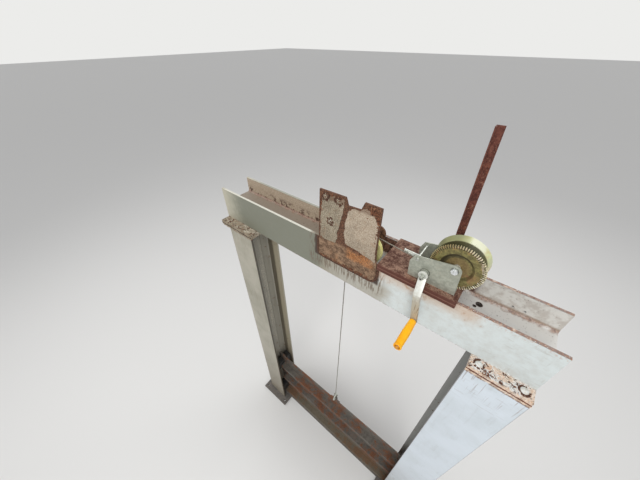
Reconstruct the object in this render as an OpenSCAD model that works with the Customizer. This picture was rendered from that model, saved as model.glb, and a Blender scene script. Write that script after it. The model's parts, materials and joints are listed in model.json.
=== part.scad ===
// Hand-winched sluice gate: two H-section columns that guide the leaf in their own troughs,
// an H-section crosshead bolted on top, and a geared hand winch with a rope sheave.
// X runs along the crosshead, Y from the front to the back, Z up from the channel floor.
// The origin is on the floor, midway between the columns.

/* [Portal] */
// Height of the crosshead's top above the floor
frame_h = 2500; // [1800:10:3200]
// Distance between the two column centres
column_pitch = 1400; // [900:10:2200]
// Length of crosshead past the left column
left_overhang = 80; // [20:5:200]
// Distance of the crosshead's centre line behind the columns' centre line
crosshead_set_back = 55; // [50:1:70]

/* [H section] */
// Overall depth and width of the rolled section
section_size = 200; // [190:5:220]
// Thickness of the web
web_t = 8; // [6:0.5:12]
// Thickness of each flange
flange_t = 12; // [8:0.5:14]
// Radius in the corners between web and flange
root_r = 13; // [8:1:16]

/* [Plates and bolts] */
// Thickness of the plate on a column and of the plate under the crosshead
joint_plate_t = 14; // [10:1:20]
// Side of a column's base plate
base_side = 320; // [280:10:400]
// Thickness of a base plate
base_t = 20; // [15:1:30]
// Distance between anchor holes
anchor_spacing = 260; // [240:5:280]
// Diameter of an anchor hole
anchor_hole_d = 22; // [18:1:26]
// Diameter of a joint bolt
bolt_d = 16; // [12:1:20]
// Distance of the front bolts behind the columns' front face
bolt_inset = 28; // [26:1:32]

/* [Leaf] */
// Height of the leaf's skin plate
leaf_h = 690; // [500:10:900]
// Thickness of the skin plate
skin_t = 10; // [6:1:14]
// Gap between the leaf's ends and the column webs
end_gap = 14; // [8:1:24]
// Reach of the stiffeners in front of the skin
stiffener_w = 50; // [40:1:65]
// Thickness of the stiffeners
stiffener_t = 8; // [6:1:10]
// Height of the rubber seal under the skin
seal_h = 12; // [8:1:20]
// Clearance between a guide shoe and a column flange
shoe_gap = 5; // [5:0.5:10]
// Height of a guide shoe
shoe_h = 90; // [60:5:120]
// Thickness of the sill bar that the seal rests on
sill_t = 10; // [8:1:16]

/* [Winch] */
// Thickness of the winch base channel
winch_base_t = 8; // [6:0.5:10]
// Height of the winch base channel, top plate and lip together
winch_base_h = 30; // [20:1:40]
// Length of the winch base channel
winch_base_w = 306; // [280:1:306]
// Distance of the base channel's right end from the crosshead's right end
winch_base_inset = 316; // [300:1:316]
// Thickness of the winch's folded frame
cheek_t = 4; // [3:0.5:5]
// Height of the drum axle above the base channel
drum_axis_h = 102.5; // [98:0.5:108]
// Angle of the crank shaft below the drum axle, seen from the drum
crank_angle = 35; // [34:0.5:38]
// Gear module
gear_module = 2.55; // [2.5:0.05:2.6]
// Teeth on the drum gear
gear_teeth = 68; // [66:1:70]
// Teeth on the pinion
pinion_teeth = 14; // [13:1:15]
// Thickness of the drum gear
gear_t = 6; // [4:0.5:6]
// Radius of the drum's core
core_r = 30; // [25:1:32]
// Layers of rope on the drum
rope_layers = 5; // [3:1:5]
// Radius of the drum's pan-shaped rear flange, at its front
rear_flange_r = 79.5; // [70:0.5:82]
// Length of the crank arm between its two holes
crank_l = 203; // [180:1:230]
// Tilt of the crank arm from straight down
crank_tilt = 7.8; // [0:0.1:20]
// Outward set of the crank arm below its bend
crank_joggle = 39; // [38:1:50]
// Length of the hand grip
grip_l = 138; // [100:1:160]
// Largest radius of the hand grip
grip_r = 16; // [12:0.5:18]

/* [Rope and sheave] */
// Diameter of the wire rope
rope_d = 5; // [4:0.5:5.5]
// Radius of the sheave at the rope's middle
sheave_r = 80; // [75:0.5:80]
// Height of the sheave pin above the crosshead
sheave_pin_h = 11; // [8:1:24]
// Diameter of the sheave pin
sheave_pin_d = 20; // [16:1:25]
// Gap between the drum's front dish and the rope
rope_gap = 1; // [0.5:0.5:3]

/* [Bracket and bar] */
// Width of the sheave bracket plate
bracket_w = 304; // [290:1:330]
// Height of the bracket plate above the crosshead
bracket_h = 257; // [230:1:300]
// Depth of the bracket plate over the crosshead's face
bracket_lap = 101; // [90:1:120]
// Thickness of the bracket plate
bracket_t = 8; // [6:0.5:9]
// Diameter of the bracket's bolts
bracket_bolt_d = 12; // [8:1:16]
// Height of the upright bar above the winch base
bar_h = 512; // [300:1:700]
// Width of the upright bar's legs
bar_w = 25; // [20:1:30]
// Lean of the upright bar away from the winch end
bar_lean = 1.5; // [0:0.1:3]

/* [Hidden] */
$fn = 48;

// Clearances
running_gap = 0.05;
side_gap = 0.3;

// Portal
half = section_size / 2;
column_x = column_pitch / 2;
beam_left = -column_x - half - left_overhang;
beam_right = column_x + half;
beam_front = crosshead_set_back - half;
beam_back = crosshead_set_back + half;
beam_bottom = frame_h - section_size;
cap_bottom = beam_bottom - 2 * joint_plate_t;
trough_front = beam_front + flange_t;
trough_back = beam_back - flange_t;
beam_web_z = frame_h - half;

// Joint bolts
nut_h = bolt_d * 0.8;
head_h = bolt_d * 0.65;
bolt_af_r = bolt_d * 0.87;
bolt_tail = 6;
front_bolt_y = -half + bolt_inset;
rear_bolt_y = half - flange_t - bolt_inset;
right_bolt_inset = 30;
left_bolt_inset = 40;
right_bolt_x = [column_x - half + right_bolt_inset, column_x + half - right_bolt_inset];
left_bolt_x = [beam_left + left_bolt_inset, -column_x + half - left_bolt_inset];

// Planes of the winch, from the front to the back
near_cheek = beam_front + 20;
far_cheek = near_cheek + 99;
clearance = 5;
ratchet_front = near_cheek + cheek_t + clearance;
ratchet_t = 5;
gear_front = ratchet_front + ratchet_t + clearance;
gear_back = gear_front + gear_t;
dish_front = gear_front + 7;
dish_back = dish_front + 3;
pan_front = dish_back + 35;
pan_back = far_cheek - cheek_t - clearance;
rope_y = dish_back + rope_gap + rope_d / 2;

// Leaf
sill_top = base_t + sill_t;
leaf_bottom = sill_top + seal_h;
leaf_top = leaf_bottom + leaf_h;
leaf_half = column_x - web_t / 2 - end_gap;
skin_y = rope_y - skin_t / 2;
slot_half = half - flange_t;
shoe_half = slot_half - shoe_gap;
shoe_w = 60;
post_w = 60;
low_stiffener_h = 40;
top_stiffener_drop = 108;
stiffener_z = [leaf_bottom + low_stiffener_h, leaf_bottom + leaf_h / 2, leaf_top - top_stiffener_drop];
shoe_inset = 60;
lug_w = 90;
lug_foot_h = 20;
lug_round_r = 20;
lug_t = 12;
lug_hole_r = 11;
lug_hole_z = leaf_top + 52;
shackle_r = 7;
shackle_leg_y = lug_t / 2 + shackle_r + 3;
shackle_bow_z = lug_hole_z + 27;
eye_r = 14;
eye_z = shackle_bow_z + shackle_leg_y - shackle_r + eye_r - rope_d / 2 - side_gap;
ferrule_l = 34;
rope_end_z = eye_z + eye_r + ferrule_l;

// Winch
winch_right = beam_right - winch_base_inset;
winch_left = winch_right - winch_base_w;
winch_floor = frame_h + winch_base_t;
drum_x = winch_right - 47;
drum_z = winch_floor + drum_axis_h;
centre_distance = gear_module * (gear_teeth + pinion_teeth) / 2;
crank_x = drum_x - centre_distance * cos(crank_angle);
crank_z = drum_z - centre_distance * sin(crank_angle);
axle_r = 7;
shaft_r = 7;
grip_pin_r = 5;

// Winch cheeks
cheek_left = crank_x - 58;
cheek_right = drum_x + 28;
cheek_corner_r = 22;
floor_bolt_r = 5;
floor_bolt_x = [cheek_left + 20, cheek_right - 20];

// Crank
arm_t = 5;
arm_w = 28;
arm_head_r = 17;
arm_tip_r = arm_w / 2;
bend_top = 14;
bend_low = 70;
head_back = near_cheek - 15;
head_front = head_back - arm_t;
tip_back = head_back - crank_joggle;
tip_front = tip_back - arm_t;
grip_x = crank_x + crank_l * sin(crank_tilt);
grip_z = crank_z - crank_l * cos(crank_tilt);
grip_start = tip_front - 3;
grip_end = grip_start - grip_l;

// Ratchet
ratchet_r = 24;
pawl_rod_r = 4;
pawl_reach = 37.5;
pawl_rise = 46.5;
pawl_x = crank_x - pawl_reach;
pawl_z = crank_z + pawl_rise;

// Teeth
addendum = 0.8 * gear_module;
dedendum = 1.15 * gear_module;
pressure = 20;
backlash = 0.35;

// Rope
rope_r = rope_d / 2;
wrap_r = core_r + rope_d + (rope_layers - 1) * rope_d * sin(60);
run_r = wrap_r + rope_r + side_gap;
sheave_x = sheave_r;
sheave_z = frame_h + sheave_pin_h;
pin_r = sheave_pin_d / 2;
hub_half = 14;
sheave_rim = sheave_r + 6;
to_sheave = [sheave_x - drum_x, sheave_z - drum_z];
span = norm(to_sheave);
run_l = sqrt(span * span - (run_r + sheave_r) * (run_r + sheave_r));
run_angle = atan2(to_sheave[1], to_sheave[0]) + 360 - asin((run_r + sheave_r) / span);
leave_angle = run_angle + 90;
arrive_angle = run_angle - 90;

// Bracket
ear_t = 8;
bracket_top = frame_h + bracket_h;
bracket_low = frame_h - bracket_lap;
bracket_right = sheave_x + 101;
bracket_left = bracket_right - bracket_w;
bracket_bolt_drop = 33;
bracket_bolt_xz = [
    [bracket_left + 42, bracket_top - bracket_bolt_drop],
    [bracket_left + 105, bracket_top - bracket_bolt_drop],
    [bracket_left + 67, frame_h + 116]
];

steel_white = "#c9cac3";
rust = "#6b3c2a";
dark_steel = "#5b5d5a";
zinc = "#b9bcb8";
passivated = "#b5a768";

// An H section with its web along Y, as a flat outline
module h_section() {
    inner = half - flange_t;
    for (side = [-1, 1])
        translate([-half, side * (half - flange_t / 2) - flange_t / 2])
            square([section_size, flange_t]);
    translate([-web_t / 2, -half + flange_t / 2])
        square([web_t, section_size - flange_t]);
    for (sx = [-1, 1], sy = [-1, 1])
        in_quarter(sx, sy)
            translate([web_t / 2 - 0.01, inner - root_r])
                difference() {
                    square([root_r, root_r + 0.01]);
                    translate([root_r, 0]) circle(root_r - 0.01);
                }
}

// Turns an outline drawn in the first quarter into one of the four quarters
module in_quarter(sx, sy) {
    mirror([sx < 0 ? 1 : 0, 0]) mirror([0, sy < 0 ? 1 : 0]) children();
}

// Extrudes an XZ outline between two planes across Y
module across(y0, y1) {
    translate([0, y1, 0]) rotate([90, 0, 0]) linear_extrude(y1 - y0) children();
}

// Turns a profile of radius and Y about a Y axis through x, z
module turned(x, z) {
    translate([x, 0, z]) rotate([-90, 0, 0]) rotate_extrude() children();
}

// A round bar along Y
module rod_y(x, z, r, y0, y1) {
    translate([x, y0, z]) rotate([-90, 0, 0]) cylinder(r = r, h = y1 - y0);
}

// A hexagon prism along Y
module hex_y(x, z, r, y0, y1) {
    translate([x, y0, z]) rotate([-90, 0, 0]) cylinder(r = r, h = y1 - y0, $fn = 6);
}

function involute(a) = tan(a) * 180 / PI - a;

// Half of a tooth's angle at radius r, on a wheel with the given teeth
function tooth_half(r, teeth) =
    let (pitch_r = gear_module * teeth / 2,
         base_r = pitch_r * cos(pressure),
         at_pitch = (PI * gear_module / 2 - backlash) / (2 * pitch_r) * 180 / PI,
         flank = r > base_r ? involute(acos(base_r / r)) : 0)
    at_pitch + involute(pressure) - flank;

// Where a line from the point p touches the circle about c
function tangent(p, c, r, side) =
    let (d = p - c, a = atan2(d[1], d[0]) + side * acos(r / norm(d)))
    c + r * [cos(a), sin(a)];

// Outline of a spur gear with a tooth centred on the angle start
function gear_outline(teeth, start) =
    let (pitch_r = gear_module * teeth / 2,
         radii = [pitch_r - dedendum, max(pitch_r - addendum / 2, pitch_r * cos(pressure) + 0.01),
                  pitch_r + addendum / 3, pitch_r + addendum])
    [for (i = [0:teeth - 1], side = [-1, 1], j = [0:3])
        let (r = radii[side < 0 ? j : 3 - j],
             a = start + i * 360 / teeth + side * tooth_half(r, teeth))
        [r * cos(a), r * sin(a)]];

// Outline of a ratchet wheel with raked teeth
function ratchet_outline(teeth, tip, root) =
    [for (i = [0:teeth - 1], j = [0, 1])
        let (a = i * 360 / teeth + (j == 0 ? 0 : 4), r = j == 0 ? root : tip)
        [r * cos(a), r * sin(a)]];

module column(x) {
    color(steel_white)
        translate([x, 0, base_t]) linear_extrude(cap_bottom - base_t) h_section();
}

module left_column() {
    column(-column_x);
}

module right_column() {
    column(column_x);
}

module base_plate(x) {
    color(dark_steel)
        difference() {
            translate([x - base_side / 2, -base_side / 2, 0]) cube([base_side, base_side, base_t]);
            for (sx = [-1, 1], sy = [-1, 1])
                translate([x + sx * anchor_spacing / 2, sy * anchor_spacing / 2, -1])
                    cylinder(d = anchor_hole_d, h = base_t + 2);
        }
}

module left_base_plate() {
    base_plate(-column_x);
}

module right_base_plate() {
    base_plate(column_x);
}

// A bar notched over the base plates, so that it lies on the floor between them
module sill() {
    long_half = column_x - web_t / 2;
    low_half = column_x - base_side / 2;
    color(dark_steel) {
        translate([-long_half, -half / 2, base_t]) cube([2 * long_half, half, sill_t]);
        translate([-low_half, -half / 2, 0]) cube([2 * low_half, half, base_t]);
    }
}

// The crosshead lies with its web level, so its flanges stand upright
module crosshead() {
    slot_l = 70;
    slot_w = 40;
    drain_d = 18;
    drain_inset = [246, 54];
    small_d = 7;
    small_inset = [259, 72];
    flange_hole_d = 8;
    flange_hole_z = frame_h - 71;
    flange_hole_x = [beam_right - 149, beam_right - 110];
    color(steel_white)
        difference() {
            translate([beam_left, crosshead_set_back, beam_web_z])
                rotate([90, 0, 90]) linear_extrude(beam_right - beam_left)
                    rotate(90) h_section();
            translate([-slot_l / 2, rope_y - slot_w / 2, beam_web_z - web_t])
                cube([slot_l, slot_w, 2 * web_t]);
            translate([beam_right - drain_inset[0], beam_back - drain_inset[1], beam_web_z - web_t])
                cylinder(d = drain_d, h = 2 * web_t);
            translate([beam_right - small_inset[0], beam_back - small_inset[1], beam_web_z - web_t])
                cylinder(d = small_d, h = 2 * web_t);
            for (x = flange_hole_x)
                rod_y(x, flange_hole_z, flange_hole_d / 2, trough_back - 1, beam_back + 1);
        }
}

module joint_plate(x0, x1, z, bolt_x) {
    color(rust)
        difference() {
            translate([x0, -half, z]) cube([x1 - x0, beam_back + half, joint_plate_t]);
            for (x = bolt_x, y = [front_bolt_y, rear_bolt_y])
                translate([x, y, z - 1]) cylinder(d = bolt_d + 2 * running_gap, h = joint_plate_t + 2);
        }
}

module left_cap_plate() {
    joint_plate(beam_left, -column_x + half, cap_bottom, left_bolt_x);
}

module left_sole_plate() {
    joint_plate(beam_left, -column_x + half, cap_bottom + joint_plate_t, left_bolt_x);
}

module right_cap_plate() {
    joint_plate(column_x - half, beam_right, cap_bottom, right_bolt_x);
}

module right_sole_plate() {
    joint_plate(column_x - half, beam_right, cap_bottom + joint_plate_t, right_bolt_x);
}

// Bolts through both joint plates, with a head above and a nut below
module joint_bolts(bolt_x) {
    color(steel_white)
        for (x = bolt_x, y = [front_bolt_y, rear_bolt_y]) {
            translate([x, y, beam_bottom]) cylinder(r = bolt_af_r, h = head_h, $fn = 6);
            translate([x, y, cap_bottom - nut_h - bolt_tail])
                cylinder(d = bolt_d, h = nut_h + bolt_tail + 2 * joint_plate_t + 1);
            translate([x, y, cap_bottom - nut_h]) cylinder(r = bolt_af_r, h = nut_h, $fn = 6);
        }
}

module left_joint_bolts() {
    joint_bolts(left_bolt_x);
}

module right_joint_bolts() {
    joint_bolts(right_bolt_x);
}

// Plate on the crosshead's face that carries the front end of the sheave pin
module sheave_bracket() {
    notch_w = 56;
    notch_h = 39;
    color(rust)
        across(beam_front - bracket_t, beam_front)
            difference() {
                polygon([
                    [bracket_left, bracket_low], [bracket_right - 26, bracket_low + 2],
                    [bracket_right - 6, bracket_low + 19], [bracket_right, frame_h - 51],
                    [bracket_right - 14, frame_h + 46], [bracket_right - 17, bracket_top],
                    [sheave_x + 13, bracket_top], [sheave_x, bracket_top - notch_h + 4],
                    [sheave_x - notch_w, bracket_top - notch_h], [sheave_x - notch_w - 12, bracket_top - 7],
                    [bracket_left + 9, bracket_top - 10]
                ]);
                translate([sheave_x, sheave_z]) circle(pin_r + running_gap);
                for (p = bracket_bolt_xz)
                    translate(p) circle(bracket_bolt_d / 2 + running_gap);
            }
}

// Bolts with a domed head in front and a nut behind the plate
module bracket_bolts() {
    dome_r = 0.9 * bracket_bolt_d;
    dome_h = 0.5 * bracket_bolt_d;
    nut_t = 0.7 * bracket_bolt_d;
    face = beam_front - bracket_t;
    color(rust)
        for (p = bracket_bolt_xz) {
            turned(p[0], p[1])
                polygon([
                    [0, face - dome_h], [0.45 * dome_r, face - 0.92 * dome_h],
                    [0.85 * dome_r, face - 0.5 * dome_h], [dome_r, face], [0, face]
                ]);
            rod_y(p[0], p[1], bracket_bolt_d / 2, face - 1, beam_front + nut_t + 4);
            hex_y(p[0], p[1], dome_r, beam_front, beam_front + nut_t);
        }
}

// Ear on the rear flange that carries the other end of the pin
module sheave_lug() {
    ear_w = 70;
    ear_low = 60;
    color(rust)
        across(trough_back - ear_t, trough_back)
            difference() {
                union() {
                    translate([sheave_x - ear_w / 2, frame_h - ear_low])
                        square([ear_w, ear_low + sheave_pin_h]);
                    translate([sheave_x, sheave_z]) circle(ear_w / 2);
                }
                translate([sheave_x, sheave_z]) circle(pin_r + running_gap);
            }
}

module sheave_pin() {
    pin_head_r = 19;
    pin_head_t = 5;
    color(dark_steel) {
        rod_y(sheave_x, sheave_z, pin_r, beam_front - bracket_t - 1, trough_back + 3);
        rod_y(sheave_x, sheave_z, pin_head_r, beam_front - bracket_t - pin_head_t, beam_front - bracket_t);
    }
}

// Two tubes that keep the sheave in the rope's plane
module pin_spacers() {
    spacer_r = pin_r + 5;
    color(rust)
        for (ends = [[trough_front + side_gap, rope_y - hub_half - side_gap],
                     [rope_y + hub_half + side_gap, trough_back - ear_t]])
            turned(sheave_x, sheave_z)
                translate([pin_r + running_gap, ends[0]])
                    square([spacer_r - pin_r - running_gap, ends[1] - ends[0]]);
}

module sheave() {
    rim_half = 9;
    web_half = 3;
    rim_inner = sheave_r - 16;
    hub_r = pin_r + 11;
    groove_r = rope_r + side_gap;
    color(passivated)
        translate([0, rope_y, 0])
            turned(sheave_x, sheave_z)
                difference() {
                    union() {
                        translate([pin_r + running_gap, -hub_half])
                            square([hub_r - pin_r - running_gap, 2 * hub_half]);
                        translate([hub_r - 1, -web_half]) square([rim_inner - hub_r + 2, 2 * web_half]);
                        translate([rim_inner, -rim_half]) square([sheave_rim - rim_inner, 2 * rim_half]);
                    }
                    translate([sheave_r, 0]) circle(groove_r);
                    polygon([
                        [sheave_r, -groove_r], [sheave_rim + 1, -rim_half + 2],
                        [sheave_rim + 1, rim_half - 2], [sheave_r, groove_r]
                    ]);
                }
}

// Channel laid over both flanges of the crosshead, lips down, that the winch stands on
module winch_base() {
    color(rust)
        difference() {
            translate([winch_left, beam_front - winch_base_t, winch_floor - winch_base_h])
                cube([winch_base_w, section_size + 2 * winch_base_t, winch_base_h]);
            translate([winch_left - 1, beam_front, frame_h - section_size])
                cube([winch_base_w + 2, section_size, section_size]);
        }
}

// Outline of a winch cheek, in X and Z
module cheek_outline() {
    drum_axis = [drum_x, drum_z];
    low_right = [cheek_right, winch_floor];
    top_left = [crank_x - 50, crank_z + 55];
    difference() {
        union() {
            polygon([
                [cheek_left, winch_floor], low_right,
                tangent(low_right, drum_axis, cheek_corner_r, 1), drum_axis,
                tangent(top_left, drum_axis, cheek_corner_r, -1), top_left,
                [crank_x - 63, crank_z + 24]
            ]);
            translate(drum_axis) circle(cheek_corner_r);
        }
        translate(drum_axis) circle(axle_r + running_gap);
        translate([crank_x, crank_z]) circle(shaft_r + running_gap);
        translate([pawl_x, pawl_z]) circle(pawl_rod_r + running_gap);
    }
}

// The winch frame is one plate folded up into two cheeks
module winch_frame() {
    color(zinc) {
        across(near_cheek, near_cheek + cheek_t) cheek_outline();
        across(far_cheek - cheek_t, far_cheek) cheek_outline();
        difference() {
            translate([cheek_left, near_cheek, winch_floor])
                cube([cheek_right - cheek_left, far_cheek - near_cheek, cheek_t]);
            for (x = floor_bolt_x)
                translate([x, (near_cheek + far_cheek) / 2, winch_floor - 1])
                    cylinder(r = floor_bolt_r + running_gap, h = cheek_t + 2);
        }
    }
}

module winch_bolts() {
    color(zinc)
        for (x = floor_bolt_x)
            translate([x, (near_cheek + far_cheek) / 2, winch_floor]) {
                cylinder(r = floor_bolt_r, h = cheek_t + 1);
                translate([0, 0, cheek_t]) cylinder(r = 9, h = 5, $fn = 6);
            }
}

// Fixed bolt through both cheeks, with a shoulder that keeps the drum off the near cheek
module drum_axle() {
    head_r = 12;
    color(zinc) {
        rod_y(drum_x, drum_z, axle_r, near_cheek - 1, far_cheek + 12);
        hex_y(drum_x, drum_z, head_r, near_cheek - 8, near_cheek);
        hex_y(drum_x, drum_z, head_r, far_cheek, far_cheek + 9);
        rod_y(drum_x, drum_z, head_r - 1, near_cheek + cheek_t, dish_front - side_gap);
    }
}

// Stamped gear: a flat toothed ring with a dished middle
module gear() {
    ring_inner = gear_module * gear_teeth / 2 - 30;
    dish_r = ring_inner - 7;
    color(passivated) {
        translate([drum_x, 0, drum_z])
            across(gear_front, gear_back)
                difference() {
                    polygon(gear_outline(gear_teeth, 180 + crank_angle));
                    circle(ring_inner);
                }
        turned(drum_x, drum_z)
            polygon([
                [axle_r + running_gap, dish_front], [dish_r - 4, dish_front],
                [ring_inner - 2, gear_front], [ring_inner + 1, gear_front],
                [ring_inner + 1, gear_back], [ring_inner - 0.5, gear_back],
                [dish_r, dish_back], [axle_r + running_gap, dish_back]
            ]);
    }
}

// Drum core with a pan for its rear flange, whose rim flares to the back
module drum() {
    wall = 3;
    flare = 10;
    bore_r = axle_r + running_gap;
    color(passivated)
        turned(drum_x, drum_z) {
            translate([bore_r, dish_back]) square([core_r - bore_r, wall]);
            translate([core_r - wall, dish_back]) square([wall, pan_front - dish_back + 1]);
            translate([bore_r, pan_front]) square([6, far_cheek - cheek_t - side_gap - pan_front]);
            polygon([
                [bore_r, pan_front], [rear_flange_r, pan_front], [rear_flange_r + flare, pan_back],
                [rear_flange_r + flare - wall, pan_back], [rear_flange_r - wall, pan_front + wall],
                [bore_r, pan_front + wall]
            ]);
        }
}

// Rope laid on the drum, with the turns of the last layer as rings
module rope_wraps() {
    first = dish_back + side_gap;
    last = pan_front - side_gap;
    turns = floor((last - first) / rope_d);
    pitch = (last - first) / turns;
    color(dark_steel)
        turned(drum_x, drum_z) {
            translate([core_r + running_gap, first]) square([wrap_r - rope_r - core_r, last - first]);
            for (i = [0:turns - 1])
                translate([wrap_r - rope_r, first + (i + 0.5) * pitch]) circle(rope_r);
        }
}

// Taut rope from the drum's underside to the top of the sheave
module rope_run() {
    start_x = drum_x + run_r * cos(leave_angle);
    start_z = drum_z + run_r * sin(leave_angle);
    color(dark_steel)
        translate([start_x, rope_y, start_z])
            rotate([0, 90 - run_angle, 0]) cylinder(r = rope_r, h = run_l);
}

// Rope in the groove, from the top of the sheave down to its left side
module rope_over_sheave() {
    color(dark_steel)
        translate([sheave_x, rope_y, sheave_z])
            rotate([90, 0, 0]) rotate([0, 0, arrive_angle])
                rotate_extrude(angle = 180 - arrive_angle)
                    translate([sheave_r, 0]) circle(rope_r);
}

module rope_fall() {
    color(dark_steel)
        translate([sheave_x - sheave_r, rope_y, rope_end_z + side_gap])
            cylinder(r = rope_r, h = sheave_z - rope_end_z - side_gap);
}

// Shaft that the crank turns, in both cheeks
module pinion_shaft() {
    collar_r = 10;
    color(zinc) {
        rod_y(crank_x, crank_z, shaft_r, head_front - 22, far_cheek + 6);
        rod_y(crank_x, crank_z, collar_r, head_back, near_cheek - side_gap);
        rod_y(crank_x, crank_z, collar_r, far_cheek + side_gap, far_cheek + 5);
    }
}

module pinion() {
    color(zinc)
        translate([crank_x, 0, crank_z])
            across(gear_front - 3, gear_back)
                difference() {
                    polygon(gear_outline(pinion_teeth, crank_angle + 180 / pinion_teeth));
                    circle(shaft_r + running_gap);
                }
}

module ratchet_wheel() {
    color(zinc)
        translate([crank_x, 0, crank_z])
            across(ratchet_front, ratchet_front + ratchet_t)
                difference() {
                    polygon(ratchet_outline(12, ratchet_r, ratchet_r - 5));
                    circle(shaft_r + running_gap);
                }
}

// Threaded rod across the cheeks that the pawl turns on
module pawl_rod() {
    nut_r = 7.5;
    nut_t = 6;
    color(zinc) {
        rod_y(pawl_x, pawl_z, pawl_rod_r, near_cheek - 8, far_cheek + 8);
        hex_y(pawl_x, pawl_z, nut_r, near_cheek - nut_t, near_cheek);
        hex_y(pawl_x, pawl_z, nut_r, far_cheek, far_cheek + nut_t);
    }
}

// Pawl with its nose just above the ratchet's tips and its tail out to the left
module pawl() {
    eye_out_r = 9;
    nose_z = ratchet_r + 1 - pawl_rise;
    tail_l = 57;
    tail_t = 10;
    color(zinc)
        translate([pawl_x, 0, pawl_z])
            across(ratchet_front, ratchet_front + ratchet_t)
                difference() {
                    union() {
                        circle(eye_out_r);
                        polygon([
                            [-tail_l, 0], [0, -eye_out_r + 2], [pawl_reach - 6, nose_z],
                            [pawl_reach, nose_z], [pawl_reach - 1, nose_z + tail_t],
                            [4, eye_out_r - 1], [-tail_l, tail_t]
                        ]);
                    }
                    circle(pawl_rod_r + running_gap);
                }
}

// Flat bar crank with round ends, bent outwards below its head
module crank_arm() {
    miter = arm_t * crank_joggle / (2 * (bend_low - bend_top));
    color(zinc)
        translate([crank_x, 0, crank_z]) rotate([0, -crank_tilt, 0])
            difference() {
                intersection() {
                    across(tip_front, head_back) {
                        circle(arm_head_r);
                        translate([-arm_w / 2, -crank_l]) square([arm_w, crank_l]);
                        translate([0, -crank_l]) circle(arm_tip_r);
                    }
                    translate([-arm_w, 0, 0]) rotate([90, 0, 90]) linear_extrude(2 * arm_w)
                        polygon([
                            [head_back, arm_head_r], [head_back, -bend_top], [tip_back, -bend_low],
                            [tip_back, -crank_l - arm_w], [tip_front, -crank_l - arm_w],
                            [tip_front, -bend_low + miter], [head_front, -bend_top + miter],
                            [head_front, arm_head_r]
                        ]);
                }
                rod_y(0, 0, shaft_r + running_gap, head_front - 1, head_back + 1);
                rod_y(0, -crank_l, grip_pin_r + running_gap, tip_front - 1, tip_back + 1);
            }
}

module crank_nut() {
    nut_r = 12;
    nut_t = 10;
    color(zinc)
        across(head_front - nut_t, head_front)
            translate([crank_x, crank_z])
                difference() {
                    circle(nut_r, $fn = 6);
                    circle(shaft_r + running_gap);
                }
}

module grip_pin() {
    shoulder_r = 8;
    tail = 5;
    color(zinc) {
        rod_y(grip_x, grip_z, grip_pin_r, grip_end - tail, tip_back + 1);
        rod_y(grip_x, grip_z, shoulder_r, grip_end - tail, grip_end - side_gap);
        rod_y(grip_x, grip_z, shoulder_r, grip_start + side_gap, tip_front);
    }
}

// Grip with a swelling at each end of the palm
module grip() {
    neck = grip_r - 3;
    bore = grip_pin_r + running_gap;
    color("#e2a51c")
        turned(grip_x, grip_z)
            polygon([
                [bore, grip_end], [neck, grip_end], [grip_r, grip_end + 6],
                [grip_r, grip_end + 14], [neck + 1, grip_end + grip_l * 0.3],
                [grip_r - 1, grip_end + grip_l * 0.55], [neck, grip_end + grip_l * 0.85],
                [grip_r, grip_start - 8], [grip_r - 1, grip_start], [bore, grip_start]
            ]);
}

module leaf_skin() {
    color(dark_steel)
        translate([-leaf_half, skin_y, leaf_bottom]) cube([2 * leaf_half, skin_t, leaf_h]);
}

// Level angles on the front of the skin: a shelf and a downturned lip
module leaf_stiffeners() {
    inner = leaf_half - shoe_w;
    color(dark_steel)
        for (z = stiffener_z)
            translate([-inner, skin_y - stiffener_w, z - stiffener_t]) {
                cube([2 * inner, stiffener_w, stiffener_t]);
                translate([0, 0, -stiffener_w / 2])
                    cube([2 * inner, stiffener_t, stiffener_w / 2 + stiffener_t]);
            }
}

// Flat bars behind the skin's two ends
module leaf_end_posts() {
    color(dark_steel)
        for (side = [-1, 1])
            translate([side * (leaf_half - post_w / 2) - post_w / 2, skin_y + skin_t, leaf_bottom])
                cube([post_w, stiffener_t, leaf_h]);
}

// Blocks at the leaf's corners that run between the column flanges
module guide_shoes() {
    block_w = shoe_w - side_gap;
    color("#2c2c2a")
        for (side = [-1, 1], z = [leaf_bottom + shoe_inset, leaf_top - shoe_inset - shoe_h])
            translate([side * (leaf_half - block_w / 2) - block_w / 2, 0, z]) {
                translate([0, -shoe_half, 0]) cube([block_w, shoe_half + skin_y, shoe_h]);
                translate([0, skin_y + skin_t + stiffener_t, 0])
                    cube([block_w, shoe_half - skin_y - skin_t - stiffener_t, shoe_h]);
            }
}

module lifting_lug() {
    color(dark_steel)
        across(rope_y - lug_t / 2, rope_y + lug_t / 2)
            difference() {
                union() {
                    translate([-lug_w / 2, leaf_top]) square([lug_w, lug_foot_h]);
                    translate([-lug_round_r, leaf_top])
                        square([2 * lug_round_r, lug_hole_z - leaf_top]);
                    translate([0, lug_hole_z]) circle(lug_round_r);
                }
                translate([0, lug_hole_z]) circle(lug_hole_r);
            }
}

// Bow shackle with its pin through the lug
module shackle() {
    pin_half = shackle_leg_y + 12;
    color(zinc)
        translate([0, rope_y, 0]) {
            rod_y(0, lug_hole_z, 8, -pin_half, pin_half);
            for (side = [-1, 1])
                translate([0, side * shackle_leg_y, lug_hole_z])
                    cylinder(r = shackle_r, h = shackle_bow_z - lug_hole_z);
            translate([0, 0, shackle_bow_z])
                rotate([0, 0, 90]) rotate([90, 0, 0])
                    rotate_extrude(angle = 180) translate([shackle_leg_y, 0]) circle(shackle_r);
        }
}

// Spliced end of the rope: an eye through the shackle and a pressed ferrule
module rope_eye() {
    color(dark_steel)
        translate([0, rope_y, 0]) {
            translate([0, 0, eye_z])
                rotate([90, 0, 0]) rotate_extrude() translate([eye_r, 0]) circle(rope_r);
            translate([0, 0, eye_z + eye_r]) cylinder(r = rope_d, h = ferrule_l);
        }
}

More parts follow.
